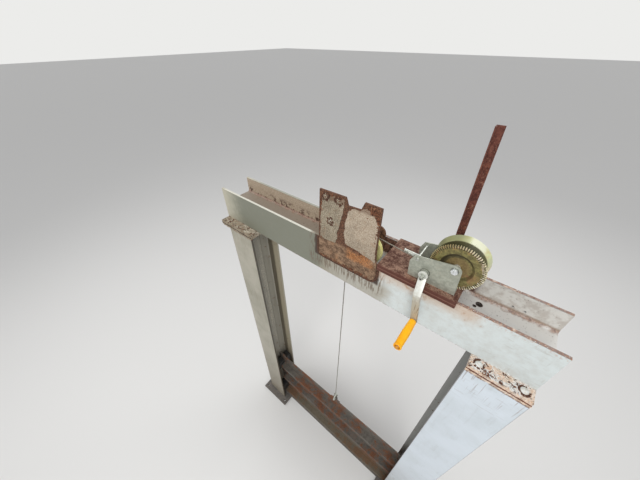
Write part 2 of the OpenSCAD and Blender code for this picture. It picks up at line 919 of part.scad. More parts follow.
module bottom_seal() {
    color("#1f1f1f")
        translate([-leaf_half, skin_y, sill_top]) cube([2 * leaf_half, skin_t, seal_h]);
}

// Angle bar standing on the rear edge of the winch base, leaning a little
module upright_bar() {
    leg_t = 4;
    color(rust)
        difference() {
            translate([winch_right - 99, beam_back + winch_base_t, winch_floor])
                rotate([0, -bar_lean, 0])
                    translate([0, 0, -bar_w]) linear_extrude(bar_h + bar_w) {
                        translate([0, -leg_t]) square([bar_w, leg_t]);
                        translate([0, -bar_w]) square([leg_t, bar_w]);
                    }
            translate([winch_left, beam_front, winch_floor - section_size])
                cube([winch_base_w, 2 * section_size, section_size]);
        }
}

left_column();
right_column();
left_base_plate();
right_base_plate();
sill();
crosshead();
left_cap_plate();
right_cap_plate();
left_sole_plate();
right_sole_plate();
left_joint_bolts();
right_joint_bolts();
sheave_bracket();
bracket_bolts();
sheave_lug();
sheave_pin();
pin_spacers();
sheave();
winch_base();
winch_frame();
winch_bolts();
drum_axle();
gear();
drum();
rope_wraps();
rope_run();
rope_over_sheave();
rope_fall();
pinion_shaft();
pinion();
ratchet_wheel();
pawl_rod();
pawl();
crank_arm();
crank_nut();
grip_pin();
grip();
leaf_skin();
leaf_stiffeners();
leaf_end_posts();
guide_shoes();
lifting_lug();
shackle();
rope_eye();
bottom_seal();
upright_bar();
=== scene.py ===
import json
import math
import random
import bmesh
import bpy
from mathutils import Euler, Matrix, Vector, noise


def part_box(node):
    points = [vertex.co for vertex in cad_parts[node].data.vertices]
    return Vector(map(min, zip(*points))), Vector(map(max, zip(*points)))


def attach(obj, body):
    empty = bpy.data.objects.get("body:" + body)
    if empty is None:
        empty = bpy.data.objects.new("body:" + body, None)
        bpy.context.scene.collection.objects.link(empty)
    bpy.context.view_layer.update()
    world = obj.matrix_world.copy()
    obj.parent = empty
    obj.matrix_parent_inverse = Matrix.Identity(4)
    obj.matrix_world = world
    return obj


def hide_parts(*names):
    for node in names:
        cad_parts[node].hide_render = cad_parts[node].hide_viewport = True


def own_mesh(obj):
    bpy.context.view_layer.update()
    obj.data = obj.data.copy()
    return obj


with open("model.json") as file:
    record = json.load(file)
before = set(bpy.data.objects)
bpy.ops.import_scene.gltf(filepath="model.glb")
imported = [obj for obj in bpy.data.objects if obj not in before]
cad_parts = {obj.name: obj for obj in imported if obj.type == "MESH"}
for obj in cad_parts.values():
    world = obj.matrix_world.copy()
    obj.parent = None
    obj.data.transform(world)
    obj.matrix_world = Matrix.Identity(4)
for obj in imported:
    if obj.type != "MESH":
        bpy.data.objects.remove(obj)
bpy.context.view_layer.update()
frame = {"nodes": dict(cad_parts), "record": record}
scene = bpy.context.scene
print("frame loaded:", len(frame["nodes"]), "pieces")

coat = {}  # the material in hand: its node tree, the place on the object and the colour so far


# Colours are given as they read on a screen, two hex digits each for red, green and blue
def screenColour(digits):
    parts = [((c / 255 + 0.055) / 1.055) ** 2.4 if c > 10 else c / 3294.6 for c in bytes.fromhex(digits)]
    return (*parts, 1.0)


# A node with its settings, and a number, a colour or another node's socket on each input
def addNode(kind, values=None, **settings):
    node = coat["tree"].nodes.new("ShaderNode" + kind)
    for setting, choice in settings.items():
        setattr(node, setting, choice)
    for name, value in (values or {}).items():
        if isinstance(value, bpy.types.NodeSocket):
            coat["tree"].links.new(value, node.inputs[name])
        elif value is not None:
            node.inputs[name].default_value = screenColour(value) if isinstance(value, str) else value
    return node


# Gives the x, y and z on the object, and one noise for each set of grains
def startMaterial(name, *grains):
    material = bpy.data.materials.new(name)
    material.use_nodes = True
    material.node_tree.nodes.clear()
    coat.update(material=material, tree=material.node_tree)
    coat["place"] = addNode("TexCoord").outputs["Object"]
    return (*addNode("SeparateXYZ", {0: coat["place"]}).outputs, *(grain(*settings) for settings in grains))


def grain(scale, detail, rough, stretch=None, twist=0.0):
    place = coat["place"]
    if stretch:
        place = addNode("Mapping", {"Vector": place, "Scale": list(stretch)}).outputs["Vector"]
    return addNode("TexNoise", {"Vector": place, "Scale": scale, "Detail": detail, "Roughness": rough,
                                "Distortion": twist}).outputs[0]


def cells(scale):
    return addNode("TexVoronoi", {"Vector": coat["place"], "Scale": scale}).outputs["Distance"]


# 0 at low and 1 at high, which may lie below low
def step(value, low, high):
    ends = {3: 1.0, 4: 0.0} if low > high else {3: 0.0, 4: 1.0}
    return addNode("MapRange", {0: value, 1: min(low, high), 2: max(low, high), **ends},
                   interpolation_type="SMOOTHSTEP").outputs[0]


def combine(kind, *values):
    return addNode("Math", dict(enumerate(values)), operation=kind).outputs[0]


# value with a share of another added
def plus(value, other, share):
    return combine("MULTIPLY_ADD", other, share, value)


# Masks are sockets, numbers, or (value, low, high) for a step
def chained(kind, masks):
    result, *others = [step(*mask) if isinstance(mask, tuple) else mask for mask in masks]
    for mask in others:
        result = combine(kind, result, mask)
    return result


def both(*masks):
    return chained("MULTIPLY", masks)


def either(*masks):
    return chained("MAXIMUM", masks)


def distanceFrom(first, second, atFirst, atSecond):
    offFirst, offSecond = combine("SUBTRACT", first, atFirst), combine("SUBTRACT", second, atSecond)
    return combine("SQRT", plus(both(offSecond, offSecond), offFirst, offFirst))


# 1 inside low..high, falling to 0 over the soft edge outside it
def within(value, low, high, soft=0.002):
    return both((value, low - soft, low), (value, high + soft, high))


def mixed(amount, under, over):
    return addNode("Mix", {0: both(amount), 6: under, 7: over}, data_type="RGBA").outputs[2]


def baseColour(amount, under, over):
    coat["colour"] = mixed(amount, under, over)


# Lays a colour over the coat where all the masks are 1, as far as amount says
def lay(colour, amount, *masks):
    strength = both(*masks, amount) if amount != 1 else both(*masks)
    coat["colour"] = mixed(strength, coat["colour"], colour)


# Each relief is a height, its strength and its depth in metres
def finishSurface(rough, reliefs=(), gloss=0.5, metal=0.0):
    normal = None
    for height, strength, distance in reliefs:
        normal = addNode("Bump", {"Strength": strength, "Distance": distance, "Height": height,
                                  "Normal": normal}).outputs["Normal"]
    surface = addNode("BsdfPrincipled", {"Base Color": coat["colour"], "Roughness": rough, "Metallic": metal,
                                         "Specular IOR Level": gloss, "Normal": normal})
    addNode("OutputMaterial", {"Surface": surface.outputs["BSDF"]})
    return coat["material"]


crossheadLook = {
    "clean": "cdd4d3",
    "greyed": "6e6e5d",
    "rustEdge": "9e745c",
    "rustDeep": "543224",
    "rustFlange": "765242",
    "rustFlangeDark": "422a22",
    "peach": "d6beaa",
}


def paintCrosshead(look):
    x, y, z, broad, mid, fine, streaky = startMaterial("crossheadWhitePaint", (7, 5, 0.6), (38, 6, 0.65),
                                                       (190, 6, 0.7), (1, 5, 0.65, (120, 120, 14)))
    baseColour((mid, 0.35, 0.7), look["clean"], "c4c8c5")
    # algae and soot grow towards the left end, and painted shade darkens it there too
    lay(look["greyed"], 0.92, (plus(x, broad, 0.35), 0.25, 0.03))
    lay("bab5a2", 0.9, (plus(x, mid, 0.12), -0.62, -0.84))
    # short dark dashes, and a thick dark band round the bracket's lower edge: rust stain and painted shadow
    onFront = within(y, -0.047, -0.043)
    lay("9c9381", 0.72, within(plus(x, broad, 0.2), 0.02, 0.32, 0.08), onFront, (plus(z, mid, 0.05), 2.47, 2.4))
    dashes = grain(1, 3, 0.55, (190, 190, 22))
    fallen = plus(z, dashes, 0.09)
    lay("685848", 0.8, (dashes, 0.49, 0.56), (fallen, 2.36, 2.408), within(x, -0.17, 0.2, 0.03), onFront)  # runs
    # rust stain and painted shadow in a band under and beside the bracket
    wavyX = plus(x, mid, 0.016)
    lay("3e2c21", 0.96, within(wavyX, -0.136, 0.197, 0.012), (plus(z, mid, 0.016), 2.388, 2.401), onFront)
    lay("968e80", 0.35, (streaky, 0.6, 0.75), (broad, 0.45, 0.6), onFront)  # faint streaks
    # stain under the winch base
    wavyZ = plus(z, mid, 0.05)
    lay("c0a388", 0.66, (wavyZ, 2.43, 2.505), within(x, 0.16, 0.53, 0.06), onFront)
    lay("a07454", 0.5, (mid, 0.56, 0.64), (wavyZ, 2.44, 2.5), within(x, 0.2, 0.56, 0.05), onFront)  # blot
    lay("b08062", 0.55, (fine, 0.5, 0.62), (plus(z, fine, 0.03), 2.492, 2.512), (x, -0.3, 0.2), onFront)  # edge drip
    # hair scratches and chips
    scratch = grain(1, 2, 0.4, (14, 14, 260), 0.6)
    lay("8e867a", 0.24, (scratch, 0.665, 0.675), (broad, 0.5, 0.62), onFront)  # scratched
    lay("684e3c", 0.75, (cells(70), 0.085, 0.05), (mid, 0.5, 0.62))  # dots
    # level web: sand and brown bands along both roots
    onWeb = both(within(z, 2.401, 2.424, 0.004), within(y, -0.034, 0.144))
    lay("cec9c2", 0.75, onWeb)
    lay("b4a89c", 0.75, onWeb, (plus(y, mid, 0.06), 0.075, 0.02))  # sandy
    lay("be9e88", 0.6, onWeb, (fine, 0.52, 0.6), (plus(y, broad, 0.1), 0.09, 0.0))  # gritty
    lay("aa7c60", 0.7, onWeb, (plus(y, mid, 0.03), 0.0, -0.012))  # front root
    for holeX, holeY, holeR in ((0.554, 0.101, 0.0125), (0.541, 0.083, 0.0065)):
        around = plus(distanceFrom(x, y, holeX, holeY), fine, 0.004)
        lay("34241c", 1, onWeb, (around, holeR + 0.004, holeR + 0.001))  # eaten
    lay("887968", 0.85, onWeb, (plus(x, broad, 0.3), 0.32, 0.02))  # web left
    lay("827468", 0.6, onWeb, within(plus(y, mid, 0.014), 0.061, 0.064, 0.004))  # ridge
    lay("4a3a30", 1, onWeb, (cells(55), 0.17, 0.1), (mid, 0.5, 0.56))  # crumbs
    lay("584438", 0.8, onWeb, (cells(120), 0.2, 0.12), (broad, 0.48, 0.52))  # specks
    lay(mixed((fine, 0.42, 0.58), "5c3c2e", "a48470"), 0.9, onWeb, (plus(y, mid, 0.05), 0.15, 0.17))
    # rust along the flange tops, with paint left in islands
    nearTop = step(plus(z, fine, 0.014), 2.5055, 2.5085)
    topFace = step(z, 2.4985, 2.4996)
    chipped = both(nearTop, (mid, 0.4, 0.5))
    edgeColour = mixed((fine, 0.4, 0.62), look["rustDeep"], look["rustEdge"])
    edgeColour = mixed((mid, 0.5, 0.7), edgeColour, look["peach"])
    lay(edgeColour, 1, chipped, (x, -0.45, 0.2))
    topRust = both(topFace, (plus(x, mid, 0.5), 0.1, 0.45))
    lay(edgeColour, 0.8, topRust)
    # painted highlight: the flanges' top face is lighter at the left, most on the front flange
    litTop = both(topFace, within(plus(x, mid, 0.05), -0.8, -0.18, 0.06))
    litTop = both(litTop, plus(0.3, step(y, 0.05, 0.0), 0.55))
    lay("dad7ca", 1, litTop)
    # inner sides of both flanges have lost their paint
    innerBack = within(y, 0.136, 0.1445, 0.002)
    innerFront = both(within(y, -0.0345, -0.026, 0.002), (fine, 0.3, 0.5))
    aboveWeb = step(plus(z, mid, 0.016), 2.418, 2.424)
    bare = both(either(innerBack, both(innerFront, 0.7)), aboveWeb, (z, 2.4985, 2.497))
    bareColour = mixed((mid, 0.4, 0.66), look["rustFlangeDark"], look["rustFlange"])
    bareColour = mixed((fine, 0.54, 0.64), bareColour, "967462")
    dusty = mixed((fine, 0.44, 0.56), "968672", "b2a28e")
    blotchy = both((mid, 0.5, 0.56), (plus(z, mid, 0.06), 2.5, 2.46))
    dusty = mixed(blotchy, dusty, "523c30")
    bareColour = mixed((plus(x, broad, 0.2), -0.02, -0.16), bareColour, dusty)
    kept = mixed((mid, 0.4, 0.62), "ceccc6", "b8b2aa")
    kept = mixed((plus(z, fine, 0.02), 2.434, 2.424), kept, "968474")
    spotted = either((cells(95), 0.14, 0.09), (fine, 0.63, 0.68))
    kept = mixed(both(spotted, (mid, 0.46, 0.52)), kept, "543e32")
    bareColour = mixed((plus(x, mid, 0.05), 0.535, 0.565), bareColour, kept)
    lay(bareColour, 1, bare)
    bare = both(bare, (x, 0.56, 0.5))
    # lower edge of both flanges
    low = both((plus(z, fine, 0.02), 2.313, 2.308), (mid, 0.42, 0.5))
    lay(edgeColour, 0.8, low)
    rusty = either(chipped, topRust, bare, low)
    return finishSurface(plus(0.46, rusty, 0.38),
                         [(mid, 0.25, 0.0016), (both(fine, either(rusty, 0.12)), 0.7, 0.0014)], 0.4)


columnLook = {
    "right": {"clean": "d2dae1", "shade": "c8d0d5", "runs": 0.12, "edge": "7c7876", "trough": "9e9c96", "seam": 0.0},
    "left": {"clean": "aaa596", "shade": "969282", "runs": 0.5, "edge": "969180", "trough": "9e9a8e", "seam": 0.9},
}


def paintColumn(side, look):
    x, y, z, broad, mid, fine, streaky = startMaterial(side + "ColumnPaint", (6, 5, 0.6), (34, 6, 0.66),
                                                       (200, 6, 0.7), (1, 5, 0.6, (60, 60, 5)))
    baseColour((broad, 0.35, 0.7), look["clean"], look["shade"])
    # the trough between the flanges is darker: dirt, and painted shade
    hollow = within(y, -0.0895, 0.0895, 0.003)
    lay(look["trough"], 0.85, hollow)
    fromWeb = combine("ABSOLUTE", combine("SUBTRACT", combine("ABSOLUTE", x), 0.7))
    # painted shade: the flanges' side faces are darker, the left column's front one darkest
    flangeSide = both((fromWeb, 0.0985, 0.0998), either((y, 0.086, 0.088), (y, -0.086, -0.088)))
    lay(look["edge"], 0.9, flangeSide)
    lay("464138", look["seam"], flangeSide, (y, -0.08, -0.085))  # front side
    lay("766a5a", look["runs"], (streaky, 0.52, 0.7), (broad, 0.4, 0.6))  # runs
    # dark joint line inside the trough
    wavyY = plus(y, mid, 0.008)
    seam = either(within(wavyY, -0.084, -0.07, 0.004), both(within(wavyY, 0.032, 0.0345, 0.001), 0.5))
    lay("2c2822", look["seam"], seam)
    backColour = mixed((plus(fromWeb, mid, 0.012), 0.05, 0.068), "5e5646", "a69d86")
    lay(backColour, look["seam"], within(y, 0.0865, 0.0885, 0.0008))
    scuffs = both(within(plus(y, mid, 0.05), 0.02, 0.042, 0.008), (plus(fine, streaky, 0.5), 0.76, 0.84),
                  within(z, 1.0, 2.1, 0.1))
    lay("cec8b6", look["seam"], scuffs)
    # darker towards the foot, and rust gathers there
    foot = step(plus(z, broad, 0.9), 1.55, 0.55)
    lay("706554", 0.55, foot)
    blisters = both((mid, 0.6, 0.66), (broad, 0.42, 0.55), either(hollow, both(foot, 0.9)))
    rust = mixed((fine, 0.4, 0.6), "462e22", "8c6044")
    lay(rust, 1, blisters)
    # flakes below the joint plate
    rim = both((plus(z, fine, 0.02), 2.274, 2.281), (mid, 0.4, 0.52))
    lay(rust, 1, rim)
    chips = both((fine, 0.68, 0.74), (mid, 0.54, 0.62))
    lay(rust, 0.7, chips)
    scratch = grain(1, 2, 0.4, (16, 16, 150), 0.8)
    lay("968e86", 0.22, (scratch, 0.67, 0.68), (z, 1.9, 2.15))  # scratched
    lay("7a5c48", 0.42, (grain(1, 3, 0.5, (150, 150, 9)), 0.585, 0.63), (z, 2.12, 2.24))  # drips
    rusty = either(blisters, rim, chips)
    return finishSurface(plus(0.44, rusty, 0.4), [(mid, 0.2, 0.0014),
                                                  (both(fine, either(rusty, 0.12)), 0.7, 0.0014)], 0.4)


# Granular rust: a dark and a light brown, an orange bloom, and pits
def paintRust(name, dark, light, bloom, bloomAmount, size, edgeZ=None, lip=False):
    x, y, z, broad, mid, fine = startMaterial(name, (9 * size, 5, 0.6), (42 * size, 7, 0.7), (170 * size, 6, 0.72))
    blend = plus(both(mid, 0.6), fine, 0.4)
    baseColour((blend, 0.42, 0.58), dark, light)
    blooming = both((broad, 0.5, 0.66), (mid, 0.4, 0.6))
    if edgeZ is not None:
        patchX = within(plus(x, mid, 0.05), 0.08, 0.16, 0.04)
        patchZ = within(plus(z, mid, 0.05), edgeZ - 0.01, edgeZ + 0.03, 0.02)
        blooming = either(both(blooming, 0.5), both(patchX, patchZ, (fine, 0.4, 0.56)))
    lay(bloom, bloomAmount, blooming)
    lay("b0947a", 0.5, (fine, 0.56, 0.64), (broad, 0.4, 0.6))  # pale
    lay("32221c", 0.7, (fine, 0.45, 0.38), (mid, 0.35, 0.6))  # pits
    if edgeZ is not None:
        lay(mixed((fine, 0.44, 0.58), "3e281e", "704a36"), 0.85, (plus(z, mid, 0.03), edgeZ + 0.01, edgeZ + 0.03))
        # darker along the bracket's lower and left edges: rust, and painted shadow
        lay("462e22", 0.8, either((plus(z, mid, 0.014), 2.418, 2.408), (plus(x, mid, 0.014), -0.106, -0.114)))
    if lip:
        bandColour = mixed(within(plus(z, fine, 0.004), 2.494, 2.4975, 0.001), "4e2c24", "866052")
        lay(bandColour, 0.85, (y, -0.05, -0.0515))  # front
        lay("5c342a", 0.4, (plus(y, mid, 0.03), -0.022, -0.034))  # near lip
    return finishSurface(plus(0.68, fine, 0.25), [(mid, 0.8, 0.003), (fine, 0.8, 0.0018)], 0.3)


def paintCement():
    x, y, z, broad, mid, fine = startMaterial("cementSkin", (10, 5, 0.6), (50, 7, 0.72), (290, 6, 0.75))
    warm = mixed((broad, 0.38, 0.62), "ac9c88", "938573")
    green = mixed((broad, 0.38, 0.62), "8e8470", "7a705e")
    baseColour((plus(x, mid, 0.05), 0.05, 0.0), warm, green)
    lay("c8bcaa", 0.6, (fine, 0.51, 0.57))
    lay("6a5a4c", 0.6, (fine, 0.47, 0.42))
    lay("967050", 0.5, (mid, 0.56, 0.62), (fine, 0.46, 0.52))  # ochre
    lay("5c4a3c", 0.8, (cells(90), 0.2, 0.1), (mid, 0.5, 0.54))  # pocks
    nearEdge = either((plus(z, mid, 0.03), 2.722, 2.738), (plus(x, mid, 0.03), -0.088, -0.1))
    lay("604230", 0.75, (fine, 0.44, 0.52), nearEdge)  # crust
    lay("4a3226", 0.9, (y, -0.0546, -0.0536))  # rim
    return finishSurface(0.93, [(mid, 0.7, 0.003), (fine, 0.8, 0.0016)], 0.2)


# Zinc: soft spangle, with dull bloom and a little brown
def paintZinc(name, bright, dull, brownness, metal, rough, stainX=None, shadowRings=()):
    x, _, z, broad, mid, fine = startMaterial(name, (22, 5, 0.6), (95, 6, 0.65), (480, 4, 0.6))
    baseColour((mid, 0.35, 0.65), dull, bright)
    lay(dull, 0.5, (broad, 0.52, 0.7))
    lay("967c62", brownness * 2, (broad, 0.48, 0.66), (mid, 0.5, 0.66))  # brown
    if stainX is not None:
        stained = step(plus(z, broad, 0.08), stainX[0], stainX[1])
        lay("aaa28e", 0.85, stained)
        lay("705c46", 0.6, stained, (grain(1, 3, 0.5, (260, 60, 18)), 0.54, 0.62))  # dripping
    # painted shadow: a dark ring round the drum axle's head and round the crank boss
    for ringX, ringZ, ringR in shadowRings:
        lay("54544a", 0.75, within(distanceFrom(x, z, ringX, ringZ), ringR - 0.001, ringR + 0.0012, 0.001))
    lay("60584e", 0.5, (fine, 0.66, 0.74), (mid, 0.5, 0.6))  # speck
    return finishSurface(plus(rough - 0.12, mid, 0.25), [(mid, 0.1, 0.0005), (fine, 0.12, 0.0003)], 0.5, metal)


# where the gear's teeth stand, in teeth, read off its own tips
def toothPhase(node, axisX, axisZ, teeth):
    points = [(v.co.x - axisX, v.co.z - axisZ) for v in frame["nodes"][node].data.vertices]
    tip = max(math.hypot(*p) for p in points)
    turns = [teeth * math.atan2(across, along) for along, across in points if math.hypot(along, across) > tip - 0.0002]
    return math.atan2(sum(math.sin(a) for a in turns), sum(math.cos(a) for a in turns)) / math.tau


gearLook = {"teeth": 68, "axisX": 0.437, "axisZ": 2.6105, "ring": "8a8250", "ringDark": "625a37", "tooth": "e6dcb6",
            "dish": "967854", "pink": "a87654"}


def paintGear(look):
    x, _, z, broad, mid, fine = startMaterial("passivatedGear", (20, 5, 0.6), (110, 6, 0.7), (520, 4, 0.7))
    acrossX = combine("SUBTRACT", x, look["axisX"])
    acrossZ = combine("SUBTRACT", z, look["axisZ"])
    radius = distanceFrom(x, z, look["axisX"], look["axisZ"])
    baseColour((mid, 0.36, 0.64), look["ringDark"], look["ring"])
    lay(look["dish"], 0.45, (plus(radius, broad, 0.02), 0.058, 0.04))  # tinted
    lay(look["pink"], 0.55, (broad, 0.48, 0.62), (acrossZ, 0.03, -0.03))  # pinkish
    angle = combine("ARCTAN2", acrossZ, acrossX)
    phase = toothPhase("gear", look["axisX"], look["axisZ"], look["teeth"])
    inTeeth = combine("FRACT", plus(look["teeth"] - phase, angle, look["teeth"] / math.tau))
    notchShade = within(inTeeth, 0.28, 0.72, 0.08)
    # painted highlight: the standing teeth are lighter towards the right
    toothColour = mixed((plus(acrossX, mid, 0.06), -0.02, 0.06), "a29262", look["tooth"])
    lay(toothColour, 0.8, (radius, 0.0785, 0.0805), (mid, 0.36, 0.52))  # standing
    lay("f6f2e2", 0.8, (mid, 0.53, 0.58), (acrossX, 0.01, 0.05), (radius, 0.074, 0.077))  # glint on the tips
    # painted shade: dark notches between the teeth, running inward from the rim
    lay("322a1a", 0.95, notchShade, (plus(radius, mid, 0.004), 0.0775, 0.0792))
    dishShade = within(radius, 0.0475, 0.0535, 0.003)
    lit = step(combine("SUBTRACT", acrossX, acrossZ), 0.02, -0.03)
    dishShade = both(dishShade, plus(0.45, lit, 0.45))
    lay("3e3624", 1, dishShade)
    # painted shadow on the upper left of the dish's recess
    upperLeft = step(combine("SUBTRACT", acrossX, acrossZ), -0.012, -0.05)
    lay("4a4330", 0.8, within(radius, 0.0405, 0.0535, 0.004), upperLeft)  # recess
    lay("b07a52", 0.3, (radius, 0.066, 0.074), (mid, 0.5, 0.6), (acrossZ, -0.01, 0.05))  # orange
    lay("b8ac88", 0.35, (fine, 0.6, 0.72))  # dusty
    return finishSurface(plus(0.38, mid, 0.3), [(mid, 0.3, 0.001), (fine, 0.3, 0.0005)], 0.5, 0.35)


def paintDrum():
    x, y, z, broad, mid, rings = startMaterial("passivatedDrum", (14, 4, 0.55), (80, 5, 0.6),
                                               (1, 3, 0.5, (6, 900, 6)))
    baseColour((broad, 0.4, 0.62), "e6eac8", "daddaa")
    lowSide = step(plus(z, broad, 0.05), 2.62, 2.585)
    # orange tint in random patches, and on the low side as a painted reflection
    lay("c48c64", 0.6, (mid, 0.42, 0.62), either(lowSide, both((broad, 0.55, 0.7), 0.5)))  # tint
    lay("747448", 0.8, (plus(x, broad, 0.03), 0.475, 0.415))  # shaded
    lay("f4f6e2", 0.7, within(plus(x, broad, 0.02), 0.462, 0.496, 0.016), (z, 2.64, 2.66))  # glow
    # painted reflection: orange at the lower right
    lay("d2a47a", 0.38, (x, 0.48, 0.51), (plus(z, mid, 0.04), 2.66, 2.62))  # blushed
    # painted shade on the flange's face behind the gear
    lay("545038", 0.85, (y, 0.0425, 0.0385))  # inside
    return finishSurface(plus(0.2, mid, 0.2), [(rings, 0.06, 0.0006)], 0.5, 0.6)


gripLook = {"bright": "ffbc02", "deep": "fcae01", "grime": "a06824"}


def paintGrip(look):
    _, y, _, broad, mid = startMaterial("orangeYellowPlastic", (30, 3, 0.5), (150, 5, 0.65))
    baseColour((broad, 0.4, 0.65), look["bright"], look["deep"])
    ends = either((y, -0.217, -0.226), (y, -0.092, -0.086))
    lay(look["grime"], 0.5, (mid, 0.55, 0.68), either(ends, 0.25))  # dirty
    return finishSurface(plus(0.28, mid, 0.25), [(mid, 0.08, 0.0006)])


# The grip's pin ends in a small capped rivet
def paintPin():
    _, y, _, mid = startMaterial("cappedPin", (150, 5, 0.65))
    plain = mixed((mid, 0.4, 0.6), "c8c8c0", "969288")
    capped = mixed((mid, 0.46, 0.56), "eca414", "965c28")
    baseColour((y, -0.2235, -0.2245), plain, capped)
    return finishSurface(plus(0.3, mid, 0.25), [(mid, 0.2, 0.0006)])


flakeParts = ("paint", "second", "patch", "tint", "under", "edge", "gap", "amount")
flakeLook = {
    "cream": ("e6d9cb", "d4c0ab", "e0e2df", "b88c6e", "4a2e22", "e4cbb4", "703e24", 0.445),
    "rust": ("a06c4c", "784c36", "bc8e6c", "623a28", "38221a", "784c36", "38221a", 0.48),
    "stud": ("cec4ae", "9c8e78", "e4ded0", "765a42", "3c2e24", "78604a", "3c2e24", 0.465),
    "stone": ("b0a591", "928673", "beb6a4", "826a54", "42342a", "968874", "342820", 0.425),
}


# Flaking joint plates: paint scales over dark brown
def paintFlakes(name, scale, kind):
    look = dict(zip(flakeParts, flakeLook[kind]))
    _, y, z, mid, fine, broad = startMaterial(name, (scale, 7, 0.72, None, 0.8), (scale * 3, 6, 0.74),
                                              (scale * 0.3, 4, 0.6))
    baseColour((fine, 0.44, 0.56), look["paint"], look["second"])
    lay(look["patch"], 0.85, (broad, 0.52, 0.58))
    lay(look["tint"], 0.7, (mid, 0.52, 0.57), (fine, 0.42, 0.5))  # tinted
    bare = either((mid, look["amount"] + 0.03, look["amount"]), (fine, 0.395, 0.375))
    lay(mixed((fine, 0.45, 0.6), look["under"], "8c5c40"), 1, bare)  # under
    # broken front edges, and the gap between the two plates painted dark: rust and painted shade
    frontEdge = step(y, -0.0985, -0.0998)
    gap = within(plus(z, fine, 0.006), 2.2865, 2.2915, 0.0015)
    lay(look["edge"], 0.6, frontEdge)
    lay(look["gap"], 1, frontEdge, gap)
    return finishSurface(0.82, [(bare, 0.8, -0.0018), (fine, 0.9, 0.0022)], 0.3)


def paintLeafSteel():
    _, _, z, broad, mid, fine, streaky = startMaterial("wornLeafCoating", (5, 6, 0.6), (40, 6, 0.68), (240, 5, 0.7),
                                                       (1, 5, 0.6, (50, 50, 4)))
    baseColour((mid, 0.38, 0.62), "4e4a44", "68625a")
    patch = step(plus(broad, mid, 0.4), 0.68, 0.78)
    lay(mixed((fine, 0.4, 0.62), "482e22", "84563a"), 1, patch)  # rust
    lay("7c5238", 0.6, (streaky, 0.54, 0.68), (broad, 0.4, 0.55))  # runs
    lay("685e4a", 0.6, (plus(z, broad, 0.3), 0.5, 0.15))  # silt
    return finishSurface(plus(0.62, patch, 0.2), [(mid, 0.35, 0.0018), (fine, 0.4, 0.0009)], 0.35)


def paintPlain(name, colour, second, scale, rough, bumpSize=0.0006, metal=0.0):
    *_, mid, fine = startMaterial(name, (scale, 6, 0.65), (scale * 6, 4, 0.65))
    baseColour((mid, 0.36, 0.64), colour, second)
    return finishSurface(plus(rough - 0.1, fine, 0.2), [(mid, 0.3, bumpSize), (fine, 0.3, bumpSize * 0.5)], 0.4,
                         metal)


axleLow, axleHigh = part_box("drum_axle")
axleHead = (axleHigh.x - axleLow.x) / 2
crankBoss = 0.0165
materials = {
    "crosshead": paintCrosshead(crossheadLook),
    "rightColumn": paintColumn("right", columnLook["right"]),
    "leftColumn": paintColumn("left", columnLook["left"]),
    "bracketRust": paintRust("bracketRust", "584232", "967a61", "b6743c", 0.75, 1.0, 2.51),
    "baseRust": paintRust("winchBaseRust", "4e2e24", "90715f", "824832", 0.6, 1.0, None, True),
    "barRust": paintRust("uprightBarRust", "4e2a22", "704236", "804a34", 0.5, 1.2),
    "partRust": paintRust("smallPartsRust", "4c362a", "805e46", "9c5c32", 0.5, 1.6),
    "cement": paintCement(),
    "cheekZinc": paintZinc("cheekZinc", "b0b3a5", "989b8e", 0.08, 0.4, 0.42, None,
                           [(0.437, 2.6105, axleHead), (0.35136, 2.55053, crankBoss)]),
    "headZinc": paintZinc("brightHead", "f0f3f6", "babebc", 0.1, 0.6, 0.3),
    "armZinc": paintZinc("crankZinc", "dbddd7", "cecdc4", 0.08, 0.3, 0.38, (2.545, 2.475)),
    "boltZinc": paintZinc("fastenerZinc", "d6d9d2", "9ea096", 0.2, 0.6, 0.34),
    "gear": paintGear(gearLook),
    "drum": paintDrum(),
    "sheave": paintZinc("sheaveYellowZinc", "eeebac", "d0ca82", 0.2, 0.2, 0.42),
    "grip": paintGrip(gripLook),
    "pin": paintPin(),
    "creamFlakes": paintFlakes("creamFlakingPaint", 55, "cream"),
    "stoneFlakes": paintFlakes("stoneFlakingScale", 45, "stone"),
    "stud": paintFlakes("wornStud", 150, "stud"),
    "rustFlakes": paintFlakes("liftedRust", 170, "rust"),
    "leaf": paintLeafSteel(),
    "rope": paintPlain("greasedWire", "948e82", "686054", 160, 0.5, 0.0003, 0.5),
    "darkWire": paintPlain("buriedWire", "463e34", "302a24", 160, 0.7, 0.0003, 0.2),
    "shoe": paintPlain("blackSlidePlastic", "2c2c2b", "3a3936", 60, 0.55),
    "rubber": paintPlain("sealRubber", "222222", "32302d", 50, 0.8),
    "weld": paintPlain("rustedWeld", "6e5442", "463226", 120, 0.8, 0.001),
    "paintedWeld": paintPlain("paintedWeld", "ced0cc", "aaa094", 120, 0.6, 0.0008),
    "siltShade": paintPlain("wetSiltAndShade", "201b16", "322920", 300, 0.9, 0.001),
    "ring": paintPlain("rustRing", "402a20", "60402e", 200, 0.85, 0.0008),
    "bolt": paintPlain("paintedBolt", "d6dad8", "beb8ac", 130, 0.5, 0.0005),
    "darkSteel": paintPlain("coatedSteel", "565450", "6e665e", 50, 0.65, 0.0008),
}
print("materials made:", len(materials))


def addPiece(name, shape, material, body, slotName, sharpAngle=32):
    mesh = shape
    if isinstance(shape, bmesh.types.BMesh):
        mesh = bpy.data.meshes.new(name)
        shape.normal_update()
        shape.to_mesh(mesh)
        shape.free()
    mesh.name = name
    mesh.materials.clear()
    mesh.materials.append(materials[material])
    mesh.polygons.foreach_set("use_smooth", [True] * len(mesh.polygons))
    mesh.set_sharp_from_angle(angle=math.radians(sharpAngle))
    piece = bpy.data.objects.new(name, mesh)
    scene.collection.objects.link(piece)
    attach(piece, body)
    return piece


